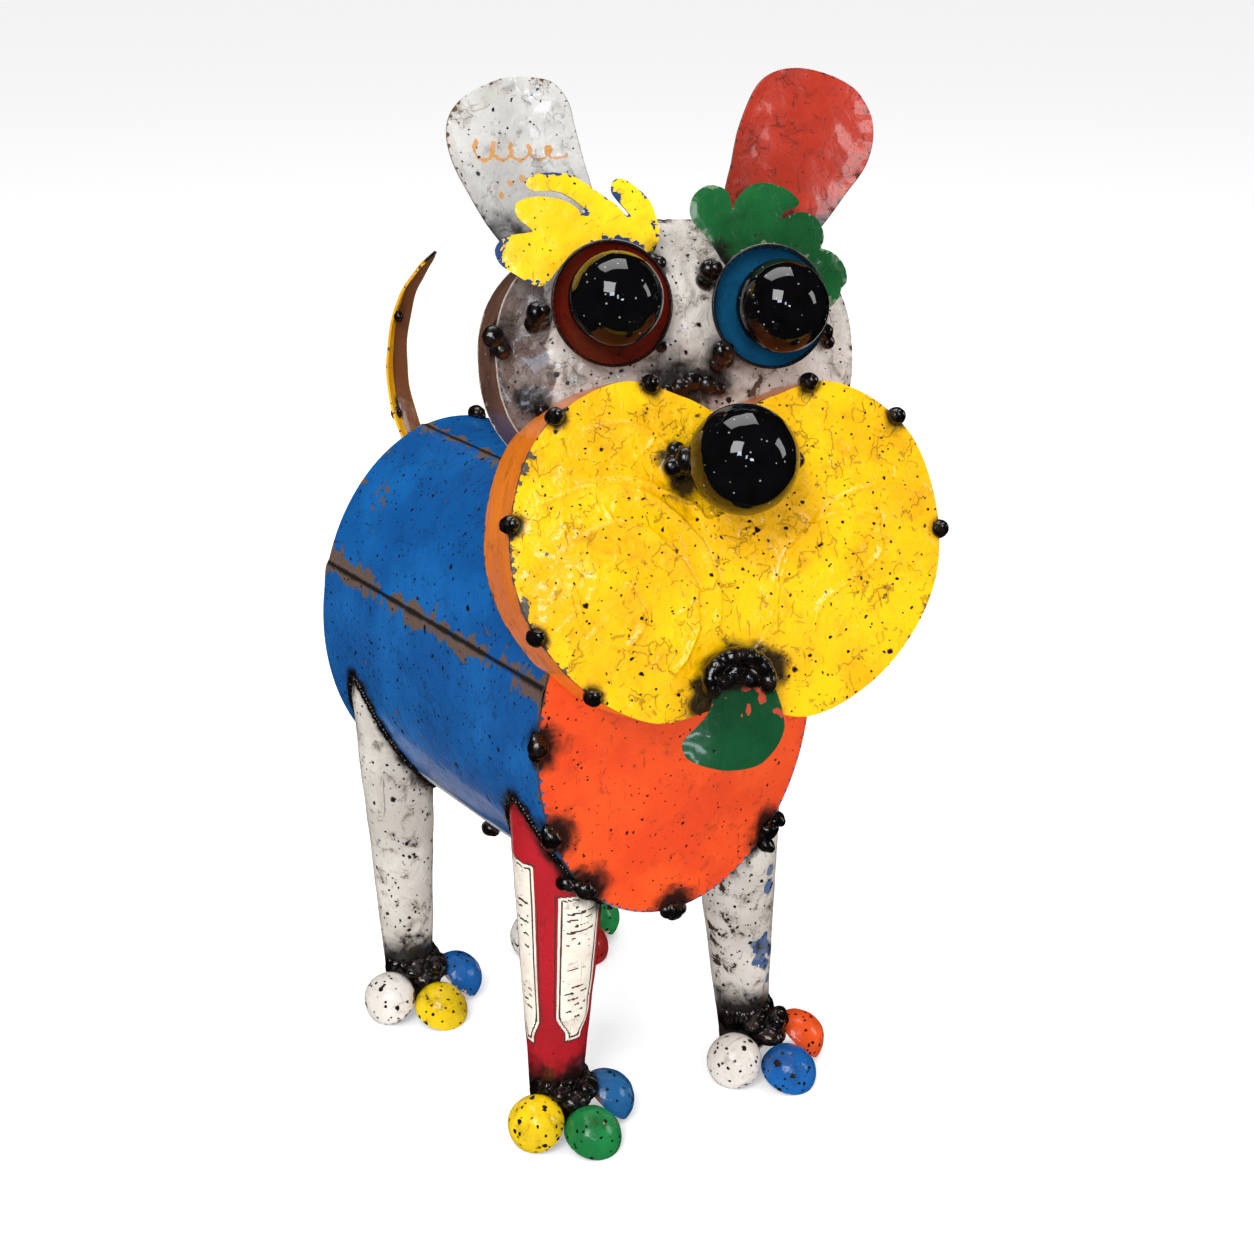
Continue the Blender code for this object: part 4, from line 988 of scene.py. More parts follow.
@dataclass
class Leg:
    """One tapered leg with its foot weld and three domed toes."""

    name: str
    foot: tuple[float, float]
    lean: tuple[float, float]
    taper: float
    finish: Finish
    slot: str
    toes: tuple[tuple[Finish, str], ...]
    toe_step: tuple[float, float] = (0.0, 0.0)
    seed: int = 1
    ankle: float = 12.0
    toe_radius: float = 14.5

    def at(self, turn: Array, up: Array) -> Array:
        """The places on the tube at these turns and heights.

        Args:
            turn: in radians round the tube.
            up: millimetres above the floor.

        Returns:
            The places, with three values in the last axis.
        """
        radius = self.ankle + self.taper * up
        x = self.foot[0] + self.lean[0] * up + radius * np.cos(turn)
        y = self.foot[1] + self.lean[1] * up + radius * np.sin(turn)
        return np.stack([x, y, up + 0 * turn], axis=-1)

    def tops(self, turn: Array) -> Array:
        """The height at each turn where the tube meets the body.

        Args:
            turn: in radians round the tube.

        Returns:
            Millimetres above the floor.
        """
        heights = np.linspace(0, 200, 801)
        x = self.at(turn[None], heights[:, None])[..., 0]
        inside = (x / 80.4) ** 2 + ((heights[:, None] - 207) / 100.4) ** 2 < 1
        return np.where(inside.any(axis=0), heights[inside.argmax(axis=0)], 186.0)

    def crown(self) -> Array:
        """The line along which the tube meets the body."""
        turn = np.linspace(-math.pi, math.pi, 132, endpoint=False)
        return self.at(turn, self.tops(turn))

    def tube(self) -> None:
        """The leg's tube, cut to the barrel's curve, with its chips, scorch and any printed panels."""
        turn = np.linspace(-math.pi, math.pi, 132, endpoint=False)
        top = self.tops(turn)
        up = np.linspace(0, 1, 150)[:, None] * top[None]
        rows = self.at(turn[None], up)
        sole = []
        for part in (0.0, 0.5, 0.92):
            ring = rows[0].copy()
            ring[:, :2] = np.array(self.foot) + (ring[:, :2] - np.array(self.foot)) * part
            sole.append(ring)
        skin = grid_skin(np.concatenate([np.array(sole), rows]), pole=True)
        lift = np.concatenate([[0.0], np.zeros(2 * len(turn)), up.ravel()])
        angle = np.concatenate([[0.0], np.tile(np.degrees(turn), 2), np.tile(np.degrees(turn), 150)])
        left = np.concatenate([[90.0], np.full(2 * len(turn), 90.0), (top[None] - up).ravel()])
        dents = skin.noise(22, self.seed, 2) * 0.5 - hammer_marks(skin.points, 13, self.seed + 5) * 0.3
        out = np.sign((skin.normals()[300:, :2] * (skin.points[300:, :2] - np.array(self.foot))).sum())
        skin = skin.pushed(out * dents * step_up(lift, 2, 10))
        count = len(skin.points)
        front = step_up(np.cos(np.radians(angle + 100)), -0.4, 0.6)
        scorch = np.clip(1 - (lift - 20) / 30, 0, 1) * (0.6 + 0.35 * front)
        scorch = np.maximum(scorch, np.clip(1 - left / 16, 0, 1) * 0.7)
        burn = np.where(lift > 1, scorch, 0) + 0.12 * np.exp(-((lift - 60) ** 2) / 900) * skin.noise(20, 3)
        skin.masks["burn"] = np.clip(burn, 0, 1)
        skin.masks["wear"] = np.clip(0.08 + 0.3 * skin.noise(30, self.seed + 2), 0,
                                     1) * (self.slot == "cream_enamel")
        panel, ink = np.zeros(count), np.zeros(count)
        if self.name == "front_right":
            panel, ink = self.labels(angle, lift, skin.points)
        if self.name == "front_left":
            panel = self.blue_marks(angle, lift, skin.points)
        skin.masks["panel"], skin.masks["ink"] = panel, ink
        made = Build.sheet(f"leg_{self.name}_beaten", skin, Build.body, inward=int(out))
        finish(made, self.finish, self.slot, "leg_" + self.name)

    def labels(self, angle: Array, lift: Array, points: Array) -> tuple[Array, Array]:
        """Two cream panels with thin double borders and rows of shallow strokes that are no letters.

        Args:
            angle: degrees round the leg.
            lift: height in millimetres.
            points: the places, for noise.

        Returns:
            The masks of the panels and of the strokes.
        """
        radius = self.ankle + self.taper * lift
        panel, ink = np.zeros(len(angle)), np.zeros(len(angle))
        for middle, half, low, high, seed in ((178, 26, 47, 145, 3), (-92, 33, 50, 130, 8)):
            away = (np.mod(angle - middle + 180, 360) - 180) * np.pi / 180 * radius
            wide = half * np.pi / 180 * radius
            waist = 1 - 0.55 * step_up(low + 14 - lift, 0, 12)
            inset = np.minimum(wide * waist - np.abs(away), np.minimum(lift - low, high - lift))
            panel = np.maximum(panel, step_up(inset, -0.3, 0.4) * 1.2)
            ink = np.maximum(ink, step_up(1.0 - np.abs(inset - 1.7), 0.25, 0.7))
            ink = np.maximum(ink, step_up(0.9 - np.abs(inset + 0.9), 0.3, 0.7))
            rows = np.abs(np.mod(lift, 3.4) - 1.7)
            dashes = soft_noise(np.stack([away * 1.0, np.floor(lift / 3.4) * 9.0, 0 * lift], axis=1), 3.2,
                                seed, 2)
            block = step_up(inset, 3.6, 4.2) * (np.mod(lift - low, 40) > 12)
            ink = np.maximum(ink, block * step_up(0.75 - rows, 0, 0.3) * step_up(dashes, 0.02, 0.16))
        worn = step_up(soft_noise(points, 16, 30, 3), 0.5, 0.6)
        return panel * (1 - 0.8 * worn), np.clip(ink * (1 - worn), 0, 1.0)

    def blue_marks(self, angle: Array, lift: Array, points: Array) -> Array:
        """A few worn patches of blue paint.

        Args:
            angle: degrees round the tube.
            lift: millimetres above the floor.
            points: the same places, for the noise.

        Returns:
            A mask from 0 to 1.
        """
        away = (np.mod(angle + 88 + 180, 360) - 180) * np.pi / 180 * (self.ankle + self.taper * lift)
        spots = ((2, 62, 6.5), (4, 52, 3.5), (9, 57, 3), (5, 98, 3.5), (6, 108, 3), (8, 128, 3),
                 (9, 136, 3.5), (7, 42, 2.5))
        mask = np.zeros(len(angle))
        torn = soft_noise(points, 6, 51, 2)
        for across, high, reach in spots:
            gap = np.hypot(away - across, (lift - high) * 0.9) - reach * (1 + 0.8 * torn)
            mask = np.maximum(mask, step_up(-gap, -0.3, 0.5))
        return mask

    def toe(self, side: int, label: str, paint: Finish, slot: str) -> None:
        """One toe: a beaten dome, open on its underside.

        Args:
            side: -1, 0 or 1 for the right, middle and left toe.
            label: that side in words.
            paint: its finish.
            slot: the record's material slot.
        """
        tilt, splay = math.radians(44 if side else 24), math.radians(26)
        flat = np.array([side * math.cos(splay), -math.sin(splay), 0]) if side else np.array([0, -1.0, 0])
        axis = flat * math.sin(tilt) + np.array([0, 0, math.cos(tilt)])
        offset = (side * 20.5, -15.0) if side else (0.0, -33.0)
        centre = np.array([self.foot[0] + self.toe_step[0] + offset[0],
                           self.foot[1] + self.toe_step[1] + offset[1],
                           self.toe_radius * math.sin(tilt) + 0.15])
        turn = Vector((0, 0, 1)).rotation_difference(Vector(axis)).to_matrix()
        around = np.linspace(0, 2 * math.pi, 64, endpoint=False)
        lift = np.linspace(math.pi / 2, 0, 30)[:, None]
        radius = np.full_like(around, self.toe_radius)[None] * (1 - 0.02 * np.cos(2 * around))[None]
        rows = np.stack([radius * np.cos(lift) * np.cos(around), radius * np.cos(lift) * np.sin(around),
                         (self.toe_radius - 0.6) * np.sin(lift) + 0 * around], axis=-1)
        skin = grid_skin(rows, pole=True)
        seed = self.seed * 10 + side
        out = np.sign((skin.normals() * skin.points).sum())
        edge = 1 - np.clip(skin.rim_distance() / 5, 0, 1)
        dents = soft_noise(skin.points + seed * 50, 9, seed,
                           2) * 0.35 - hammer_marks(skin.points, 7, seed) * 0.3
        skin = skin.pushed(out * (dents * (1 - edge) - 0.1))
        skin.masks["wear"] = edge**2 * 0.8
        skin.points = skin.points @ np.array(turn).T + centre
        knot = np.array([[self.foot[0] + self.toe_step[0] * 0.5, self.foot[1] - 16 + self.toe_step[1] * 0.5,
                          20.0]])
        skin.masks["burn"] = near(skin.points, knot, 17)
        made = Build.sheet(f"toe_{self.name}_{label}_beaten", skin, Build.body, inward=int(out))
        finish(made, paint, slot, f"toe_{self.name}_{label}")

    def foot_weld(self) -> None:
        """The knot of weld: a ragged bar round the ankle, plates and knuckle balls between the toes."""
        fx, fy = self.foot
        sx, sy = self.toe_step
        rng = np.random.default_rng(self.seed)
        blobs = []
        for degrees in range(-172, 10, 5):
            turn = math.radians(degrees)
            level = 20.5
            reach = self.ankle + self.taper * level + 0.2 + rng.uniform(-0.3, 0.5)
            blobs.append(((fx + self.lean[0] * level + reach * math.cos(turn), fy + reach * math.sin(turn),
                           level + rng.uniform(-0.5, 0.5)), (2.9, 2.9, 5.4 + rng.uniform(-0.8, 1.0))))
        middle = np.array([fx + sx * 0.5, fy - 17 + sy * 0.5, 20.5])
        blobs += [(middle + (-6, 2, 2.0), (6.5, 6.0, 3.6)), (middle + (5, 1, 1.2), (6.0, 6.0, 3.8)),
                  (middle + (0, 0, -3), (9.0, 8.0 - sy / 3, 5.5)), (middle + (3.5, -5, 4.2), (4.0, 4.0, 3.8)),
                  (middle + (9.5, 1.5, 4.0), (4.2, 4.0, 3.8)), (middle + (-2.5, 3.5, 5.2), (5.0, 3.2, 2.6))]
        for step in range(30):
            turn = step * 0.21
            blobs.append((middle
                          + (6 + 4.6 * math.cos(turn), -2.5 + 1.4 * math.sin(turn),
                             2.6 + 4.6 * math.sin(turn)), (1.7, 1.9, 1.7)))
        made = Build.lump(f"foot_weld_{self.name}_knot", blobs, Build.body, self.seed + 60, rough=0.3,
                          voxel=0.5)
        finish(made, Finish.WELD, "weld_steel", "foot_weld_" + self.name)

    def build(self) -> None:
        """Makes and dresses the leg."""
        self.tube()
        WeldRun().lay(f"leg_{self.name}_weld_run", self.crown(), Build.body)
        for side, label, (paint, slot) in zip((-1, 0, 1), ("right", "middle", "left"), self.toes):
            self.toe(side, label, paint, slot)
        self.foot_weld()


@dataclass
class Skull:
    """The head: a beaten face dish on a squared hoop, with its back."""

    centre: tuple[float, float] = (-11.0, 50.0)
    half_width: float = 85.5
    half_height: float = 61.0
    front: float = 45.0
    depth: float = 35.0
    squareness: float = 2.4
    crown: float = 13.0
    eye_beads: tuple[tuple[float, float, float], ...] = ((-78, 24, 70), (-24, 24, 89), (2, 24, 86), (4, 24, 49))

    def face_y(self, x: Array, z: Array) -> Array:
        """The depth of the dish at a point.

        Args:
            x: across the head.
            z: up the head.

        Returns:
            y in the head's frame.
        """
        dx, dz = (x - self.centre[0]) / self.half_width, (z - self.centre[1]) / self.half_height
        share = (np.abs(dx) ** self.squareness + np.abs(dz) ** self.squareness) ** (1 / self.squareness)
        return self.front - SHEET - GAP - self.crown * (1 - share**2)

    def outline(self, offset: float, count: int) -> tuple[Array, Array]:
        """The hoop's squared oval in (x, z).

        Args:
            offset: outwards, in millimetres.
            count: how many points.

        Returns:
            The x and z of the points.
        """
        turn = np.linspace(0, 2 * math.pi, count, endpoint=False)
        x, z = superellipse(turn, self.half_width + offset, self.half_height + offset, self.squareness)
        return x + self.centre[0], z + self.centre[1]

    def dish(self, face: bool) -> None:
        """The face, or the back of the head.

        Args:
            face: whether it is the face.
        """
        ox, oz = self.outline(-0.4, 280)
        share = np.linspace(0, 1, 110 if face else 50)[:, None]
        x = self.centre[0] + (ox - self.centre[0])[None] * share
        z = self.centre[1] + (oz - self.centre[1])[None] * share
        y = self.face_y(x, z) if face else self.front + self.depth + GAP + 5 * (1 - share**2) + 0 * x
        skin = grid_skin(np.stack([x, y, z], axis=-1), pole=True)
        side = -1 if face else 1
        out = np.sign((skin.normals()[:, 1] * side).mean())
        px, pz = skin.points[:, 0], skin.points[:, 2]
        edge = 1 - np.clip(skin.rim_distance() / 7, 0, 1)
        depth = skin.noise(26, 71, 2) * 0.9 - hammer_marks(skin.points, 12, 72) * 0.7
        if face:
            bridge = np.exp(-(((px + 11 + 0.12 * (pz - 60)) / 8.5) ** 2)) * step_up(pz, 36, 60) * 3.2
            furrow = np.exp(-((along_line(px, pz, ((-9, 88), (-4, 72), (-14, 64), (-12, 40)))
                               / 2.2) ** 2)) * -0.9
            brow_dent = -2.0 * near(skin.points,
                                    np.array([[-92, 34, 68], [-88, 36, 50], [62, 34, 50]], float), 20)
            depth = depth + bridge + furrow + brow_dent
        skin = skin.pushed(out * depth * (1 - edge))
        skin.masks["wear"] = np.clip(edge**2 * 0.7 + 0.22 * step_up(skin.noise(30, 74, 2), 0.1, 0.6), 0, 1)
        burn = np.zeros(len(skin.points))
        if face:
            hot = np.array([*self.eye_beads, (-74, 30, 22), (-84, 34, 32), (56, 30, 58), (-98, 36, 66)], float)
            burn = near(skin.points, hot, 18)
            burn = np.maximum(burn,
                              near(skin.points, np.array([[-10, 30, 36], [-2, 30, 36], [-20, 30, 38]], float),
                                   26) * 0.85)
            burn = np.maximum(burn,
                              near(skin.points, np.array([[-24, 28, 52], [-60, 30, 42], [14, 28, 42]], float),
                                   16) * 0.5)
            burn = np.maximum(burn, edge * 0.45)
        skin.masks["burn"] = burn
        if face:
            torn = skin.noise(9, 76, 3)
            skin.masks["panel"] = step_up(-px, 60,
                                          84) * 0.75 * step_up(98 - pz, 0,
                                                               10) + 0.25 * torn * step_up(-px, 55, 75)
            made = Build.sheet("face_dish", skin, Build.head, inward=int(out))
            finish(made, Finish.CREAM, "cream_enamel", "face_plate")
        else:
            made = Build.sheet("head_back_beaten", skin, Build.head, inward=int(out))
            finish(made, Finish.BROWN, "brown_steel", "head_back")

    def hoop(self) -> None:
        """The band round the head, brown inside and out with a worn cream edge."""
        x, z = self.outline(0.0, 260)
        depth = np.linspace(self.front - 0.2, self.front + self.depth, 40)
        rows = np.stack(np.broadcast_arrays(x[None], depth[:, None], z[None]), axis=-1)
        skin = grid_skin(rows)
        out = np.sign((skin.normals()[:, [0, 2]] * (skin.points[:, [0, 2]] - np.array(self.centre))).sum())
        edge = np.minimum(skin.points[:, 1] - self.front, self.front + self.depth - skin.points[:, 1])
        skin = skin.pushed(out * (skin.noise(20, 81, 2) * 0.6 * step_up(edge, 0, 8) - 0.1))
        skin.masks["wear"] = np.exp(-edge / 1.6) * 1.1 + 0.12
        skin.masks["burn"] = near(skin.points, np.array([[-98, 50, 60], [74, 50, 40], [70, 48, 70]], float), 16)
        made = Build.sheet("head_hoop", skin, Build.head, inward=int(out))
        finish(made, Finish.BROWN, "brown_steel", "head_band")

    def welds(self) -> None:
        """Beads by the eyes, at the hoop and in the notch above the muzzle."""
        for number, (x, y, z) in enumerate(self.eye_beads, start=1):
            y = float(self.face_y(np.array(x), np.array(z))) - 4
            blobs = [((x, y, z), (5.6, 5.0, 5.6)), ((x + 1.4, y - 3.6, z + 0.8), (3.4, 3.2, 3.4)),
                     ((x - 2.2, y + 1.5, z - 4.2), (4.4, 3.2, 4.4)),
                     ((x + 2.6, y + 2.0, z - 2.8), (3.6, 3.2, 4.6))]
            made = Build.lump(f"eye_bead_{number}_weld", blobs, Build.head, 90 + number)
            finish(made, Finish.WELD, "weld_steel", f"eye_bead_{number}")
        blobs = []
        for x, z, reach in ((-98, 61, 5.2), (-94, 55, 4.2), (58, 57, 4.4), (60, 52, 3.4), (-10, 37, 4.6),
                            (-16, 34, 4.4), (-3, 35, 4.2),
                            (3, 33, 3.2), (-22, 33, 3.4), (-66, 24, 4.2), (-72, 22, 4.6), (-62, 30, 3.6),
                            (-78, 27, 3.8), (-24, 53, 3.0)):
            y = float(self.face_y(np.array(float(x)), np.array(float(z))))
            blobs.append(((x, min(y, 42) - reach * 0.35, z), (reach, reach * 0.8, reach)))
        finish(Build.lump("face_welds", blobs, Build.head, 99), Finish.WELD, "weld_steel")

    def build(self) -> None:
        """Makes and dresses the head."""
        self.hoop()
        self.dish(face=True)
        self.dish(face=False)
        self.welds()


@dataclass
class Muzzle:
    """The muzzle: a heart of beaten yellow sheet on a deep orange hoop, with the nose ball."""

    centre: tuple[float, float] = (-7.0, -38.0)
    depth: float = 48.0
    half_outline: tuple[tuple[float, float], ...] = (
        (0, 58), (20, 66), (46, 73), (72, 63), (91, 42), (100, 6), (94, -27), (71, -58), (37, -76), (0, -70))
    bead_degrees: tuple[float, ...] = (171, 141, 114, 60, 33, 1, -138, -160)
    # Ridges left by the maker's punch: two curled lines on each cheek and one under the nose
    ridges: tuple[tuple[tuple[float, float], ...], ...] = (
        ((-92, -14), (-74, -8), (-56, -9), (-40, -16), (-27, -28), (-19, -40), (-15, -55), (-16, -71)),
        ((-77, -30), (-63, -24), (-47, -27), (-36, -38), (-28, -49), (-25, -66), (-30, -83), (-38, -92)),
        ((88, -19), (63, -15), (44, -19), (31, -29), (21, -39), (15, -49), (11, -62), (10, -75), (7, -83)),
        ((62, -30), (44, -26), (32, -29)),
        ((29, -77), (34, -64), (46, -56), (61, -45), (61, -31)),
        ((-81, 0), (-66, -5), (-48, -7), (-26, -17), (-18, -25), (-8, -22)),
        ((-56, -50), (-50, -66), (-58, -78)), ((-70, 17), (-53, 19), (-40, 14), (-32, 4)))

    def outline(self, count: int, offset: float = 0.0) -> Array:
        """The heart in (x, z), rolled a little, as evenly spaced points.

        Args:
            count: how many points.
            offset: outwards, in millimetres.

        Returns:
            The points, one row each.
        """
        half = np.array(self.half_outline, float)
        loop = np.concatenate([half, half[-2:0:-1] * (-1, 1)])
        curve = smooth_path(loop, 24, closed=True)
        lengths = np.concatenate([[0],
                                  np.cumsum(np.linalg.norm(np.diff(curve, axis=0, append=curve[:1]), axis=1))])
        wrapped = np.concatenate([curve, curve[:1]])
        even = np.linspace(0, lengths[-1], count, endpoint=False)
        points = np.stack([np.interp(even, lengths, wrapped[:, k]) for k in (0, 1)], axis=1)
        way = np.roll(points, -1, axis=0) - np.roll(points, 1, axis=0)
        way /= np.linalg.norm(way, axis=1, keepdims=True)
        points = points + np.stack([-way[:, 1], way[:, 0]], axis=1) * offset
        roll = math.radians(-2.5)
        turned = np.stack([points[:, 0] * math.cos(roll) - points[:, 1] * math.sin(roll),
                           points[:, 0] * math.sin(roll) + points[:, 1] * math.cos(roll)], axis=1)
        return turned + np.array(self.centre)

    def lift(self, x: Array, z: Array) -> Array:
        """How far the two beaten cheeks stand out.

        Args:
            x: across the muzzle.
            z: up the muzzle.

        Returns:
            Millimetres.
        """
        total = np.zeros_like(x)
        for side in (-1, 1):
            gap = (x - self.centre[0] - side * 50) ** 2 + (z - self.centre[1] + 6) ** 2
            total = total + 5 * np.exp(-gap / (2 * 27.0**2))
        return total

    def bead_points(self) -> Array:
        """The middles of the beads on the muzzle's rim."""
        edge = self.outline(720)
        angle = np.arctan2(edge[:, 1] - self.centre[1], edge[:, 0] - self.centre[0])
        spots = []
        for degrees in self.bead_degrees:
            away = np.abs(np.angle(np.exp(1j * (angle - math.radians(degrees)))))
            spots.append([edge[away.argmin(), 0], 0.0, edge[away.argmin(), 1]])
        return np.array(spots)

    def plate(self) -> None:
        """The yellow face of the muzzle, with its ridges, dents and chips."""
        edge_line = self.outline(420, -0.2)
        share = (np.linspace(0, 1, 112) ** 0.85)[:, None]
        x = self.centre[0] + (edge_line[:, 0] - self.centre[0])[None] * share
        z = self.centre[1] + (edge_line[:, 1] - self.centre[1])[None] * share
        skin = grid_skin(np.stack([x, -self.lift(x, z), z], axis=-1), pole=True)
        out = np.sign(-skin.normals()[:, 1].mean())
        px, pz = skin.points[:, 0], skin.points[:, 2]
        edge = 1 - np.clip(skin.rim_distance() / 9, 0, 1)
        depth = skin.noise(24, 101, 2) * 0.7 - hammer_marks(skin.points, 11, 102) * 0.75
        depth += -0.5 * hammer_marks(skin.points, 5.5, 105) * step_up(skin.noise(30, 104), -0.1, 0.4)
        for k, ridge in enumerate(self.ridges):
            drawn = smooth_path(ridge, 5)
            gap = along_line(px + skin.noise(9, 110 + k) * 1.1, pz, drawn.tolist())
            depth += 1.5 * np.exp(-((gap / 1.15) ** 2)) + (1.3 if k < 3 else 0.5) * np.exp(-((gap / 6) ** 2))
        for k in range(54):
            spot = lattice(np.array([[k, 5, 9], [k, 7, 3], [k, 2, 8]]), 12)
            start = np.array([-85 + 165 * spot[0], -95 + 115 * spot[1]])
            turn = spot[2] * 6.3
            bend = [start, start + 7 * np.array([math.cos(turn), math.sin(turn)]),
                    start + 11 * np.array([math.cos(turn + 0.9), math.sin(turn + 0.9)])]
            depth += 0.55 * np.exp(-((along_line(px, pz, smooth_path(bend, 4).tolist()) / 0.85) ** 2))
        skin = skin.pushed(out * (depth * (1 - edge**2) + 0.1 - 0.5 * edge**3))
        skin.masks["wear"] = np.clip(edge**3 * 0.8 * (1 + step_up(-px, 40, 90)) * 0.6 + 0.12
                                     * step_up(skin.noise(22, 120, 2), 0.2, 0.6), 0, 1)
        nose = near(skin.points, np.array([[-30, 0, 0], [15, 0, 1], [-28, 0, -8], [13, 0, -6]], float), 15)
        mouth = near(skin.points,
                     np.array([[-22, 0, -99], [-17, 0, -90], [-8, 0, -86], [2, 0, -87], [9, 0, -93],
                               [-24, 0, -106]], float), 13)
        burn = np.maximum(near(skin.points, self.bead_points(), 10), np.maximum(nose, mouth))
        skin.masks["burn"] = np.clip(burn, 0, 1)
        finish(Build.sheet("muzzle_heart", skin, Build.head, inward=int(out)), Finish.YELLOW, "yellow_enamel",
               "muzzle_plate")

    def hoop(self) -> None:
        """The orange side of the muzzle."""
        edge_line = self.outline(360)
        depth = np.linspace(SHEET + GAP, self.depth, 44)
        rows = np.stack(np.broadcast_arrays(edge_line[None, :, 0], depth[:, None], edge_line[None, :, 1]),
                        axis=-1)
        skin = grid_skin(rows)
        out = np.sign((skin.normals()[:, [0, 2]] * (skin.points[:, [0, 2]] - np.array(self.centre))).sum())
        edge = np.minimum(skin.points[:, 1] - depth[0], depth[-1] - skin.points[:, 1])
        skin = skin.pushed(out * (skin.noise(18, 131, 2) * 0.5 * step_up(edge, 0, 9) - 0.1))
        skin.masks["wear"] = np.clip(np.exp(-edge / 2) * 0.7 + 0.2
                                     * step_up(skin.noise(14, 133, 2), 0.2, 0.5), 0, 1)
        skin.masks["burn"] = near(skin.points, self.bead_points(), 10)
        made = Build.sheet("muzzle_hoop", skin, Build.head, inward=int(out))
        finish(made, Finish.LIGHT_ORANGE, "light_orange_enamel", "muzzle_band")

    def beads(self) -> None:
        """Beads of weld that lap the plate on to the hoop."""
        for number, (x, y, z) in enumerate(self.bead_points(), start=1):
            blobs = [((x, y + 0.6, z), (4.4, 4.2, 4.4)), ((x + 0.8, y - 2.4, z + 0.6), (2.6, 2.2, 2.6)),
                     ((x * 1.004, y + 3.4, z), (3.8, 3.4, 3.8))]
            made = Build.lump(f"muzzle_bead_{number}_weld", blobs, Build.head, 140 + number, voxel=0.5)
            finish(made, Finish.WELD, "weld_steel", f"muzzle_bead_{number}")

    def nose(self) -> None:
        """The nose ball and the black tabs that hold it."""
        x, z = self.centre[0], self.centre[1] + 38
        plate = -float(self.lift(np.array(x), np.array(z))) - GAP
        Balls.ball("nose_ball_lacquered", (x, plate - 21.6, z), 24.2, 5, "nose_ball")
        for side, label in ((-1, "right"), (1, "left")):
            tx = x + side * (27 if side > 0 else 23)
            ty = -float(self.lift(np.array(float(tx)), np.array(z))) - 3
            blobs = [((tx, ty + 1, z), (6.2, 3.4, 8.4)), ((tx - side * 2, ty - 3.0, z + 1.5), (4.8, 4.6, 6.2)),
                     ((tx + side * 3.4, ty - 1.6, z - 1.5), (4.4, 3.4, 4.4)),
                     ((tx + side * 1, ty, z + 6.5), (4.6, 3.0, 3.6))]
            made = Build.lump(f"nose_tab_{label}_weld", blobs, Build.head, 160 + side)
            finish(made, Finish.WELD, "weld_steel", "nose_tab_" + label)

    def build(self) -> None:
        """Makes and dresses the muzzle."""
        self.plate()
        self.hoop()
        self.beads()
        self.nose()


class Balls:
    """Lacquered balls, a little out of round."""

    @staticmethod
    def ball(name: str, centre: Sequence[float], radius: float, seed: int, node: str) -> None:
        """One ball in the head's frame.

        Args:
            name: the piece's name.
            centre: its middle in millimetres.
            radius: in millimetres.
            seed: picks its faint flats.
            node: the CAD node that it replaces.
        """
        lift = np.linspace(0, math.pi, 61)[:, None]
        turn = np.linspace(0, 2 * math.pi, 96, endpoint=False)[None]
        unit = np.stack([np.sin(lift) * np.cos(turn), np.sin(lift) * np.sin(turn), np.cos(lift) + 0 * turn],
                        axis=-1)
        skin = grid_skin(unit[:-1], pole=True)
        points = np.concatenate([skin.points, unit[-1, :1]])
        last = len(skin.points)
        ring = np.arange(last - 96, last)
        faces = np.concatenate([skin.faces, np.stack([ring, np.roll(ring, -1), np.full(96, last)], axis=1)])
        swell = 1 + 0.006 * soft_noise(points * radius, radius * 0.8, seed)
        made = Build.mesh(name, Build.head(points * swell[:, None] * radius * 0.997 + np.asarray(centre)),
                          faces, {}, sharp=180)
        finish(made, Finish.BALL, "black_gloss", node)


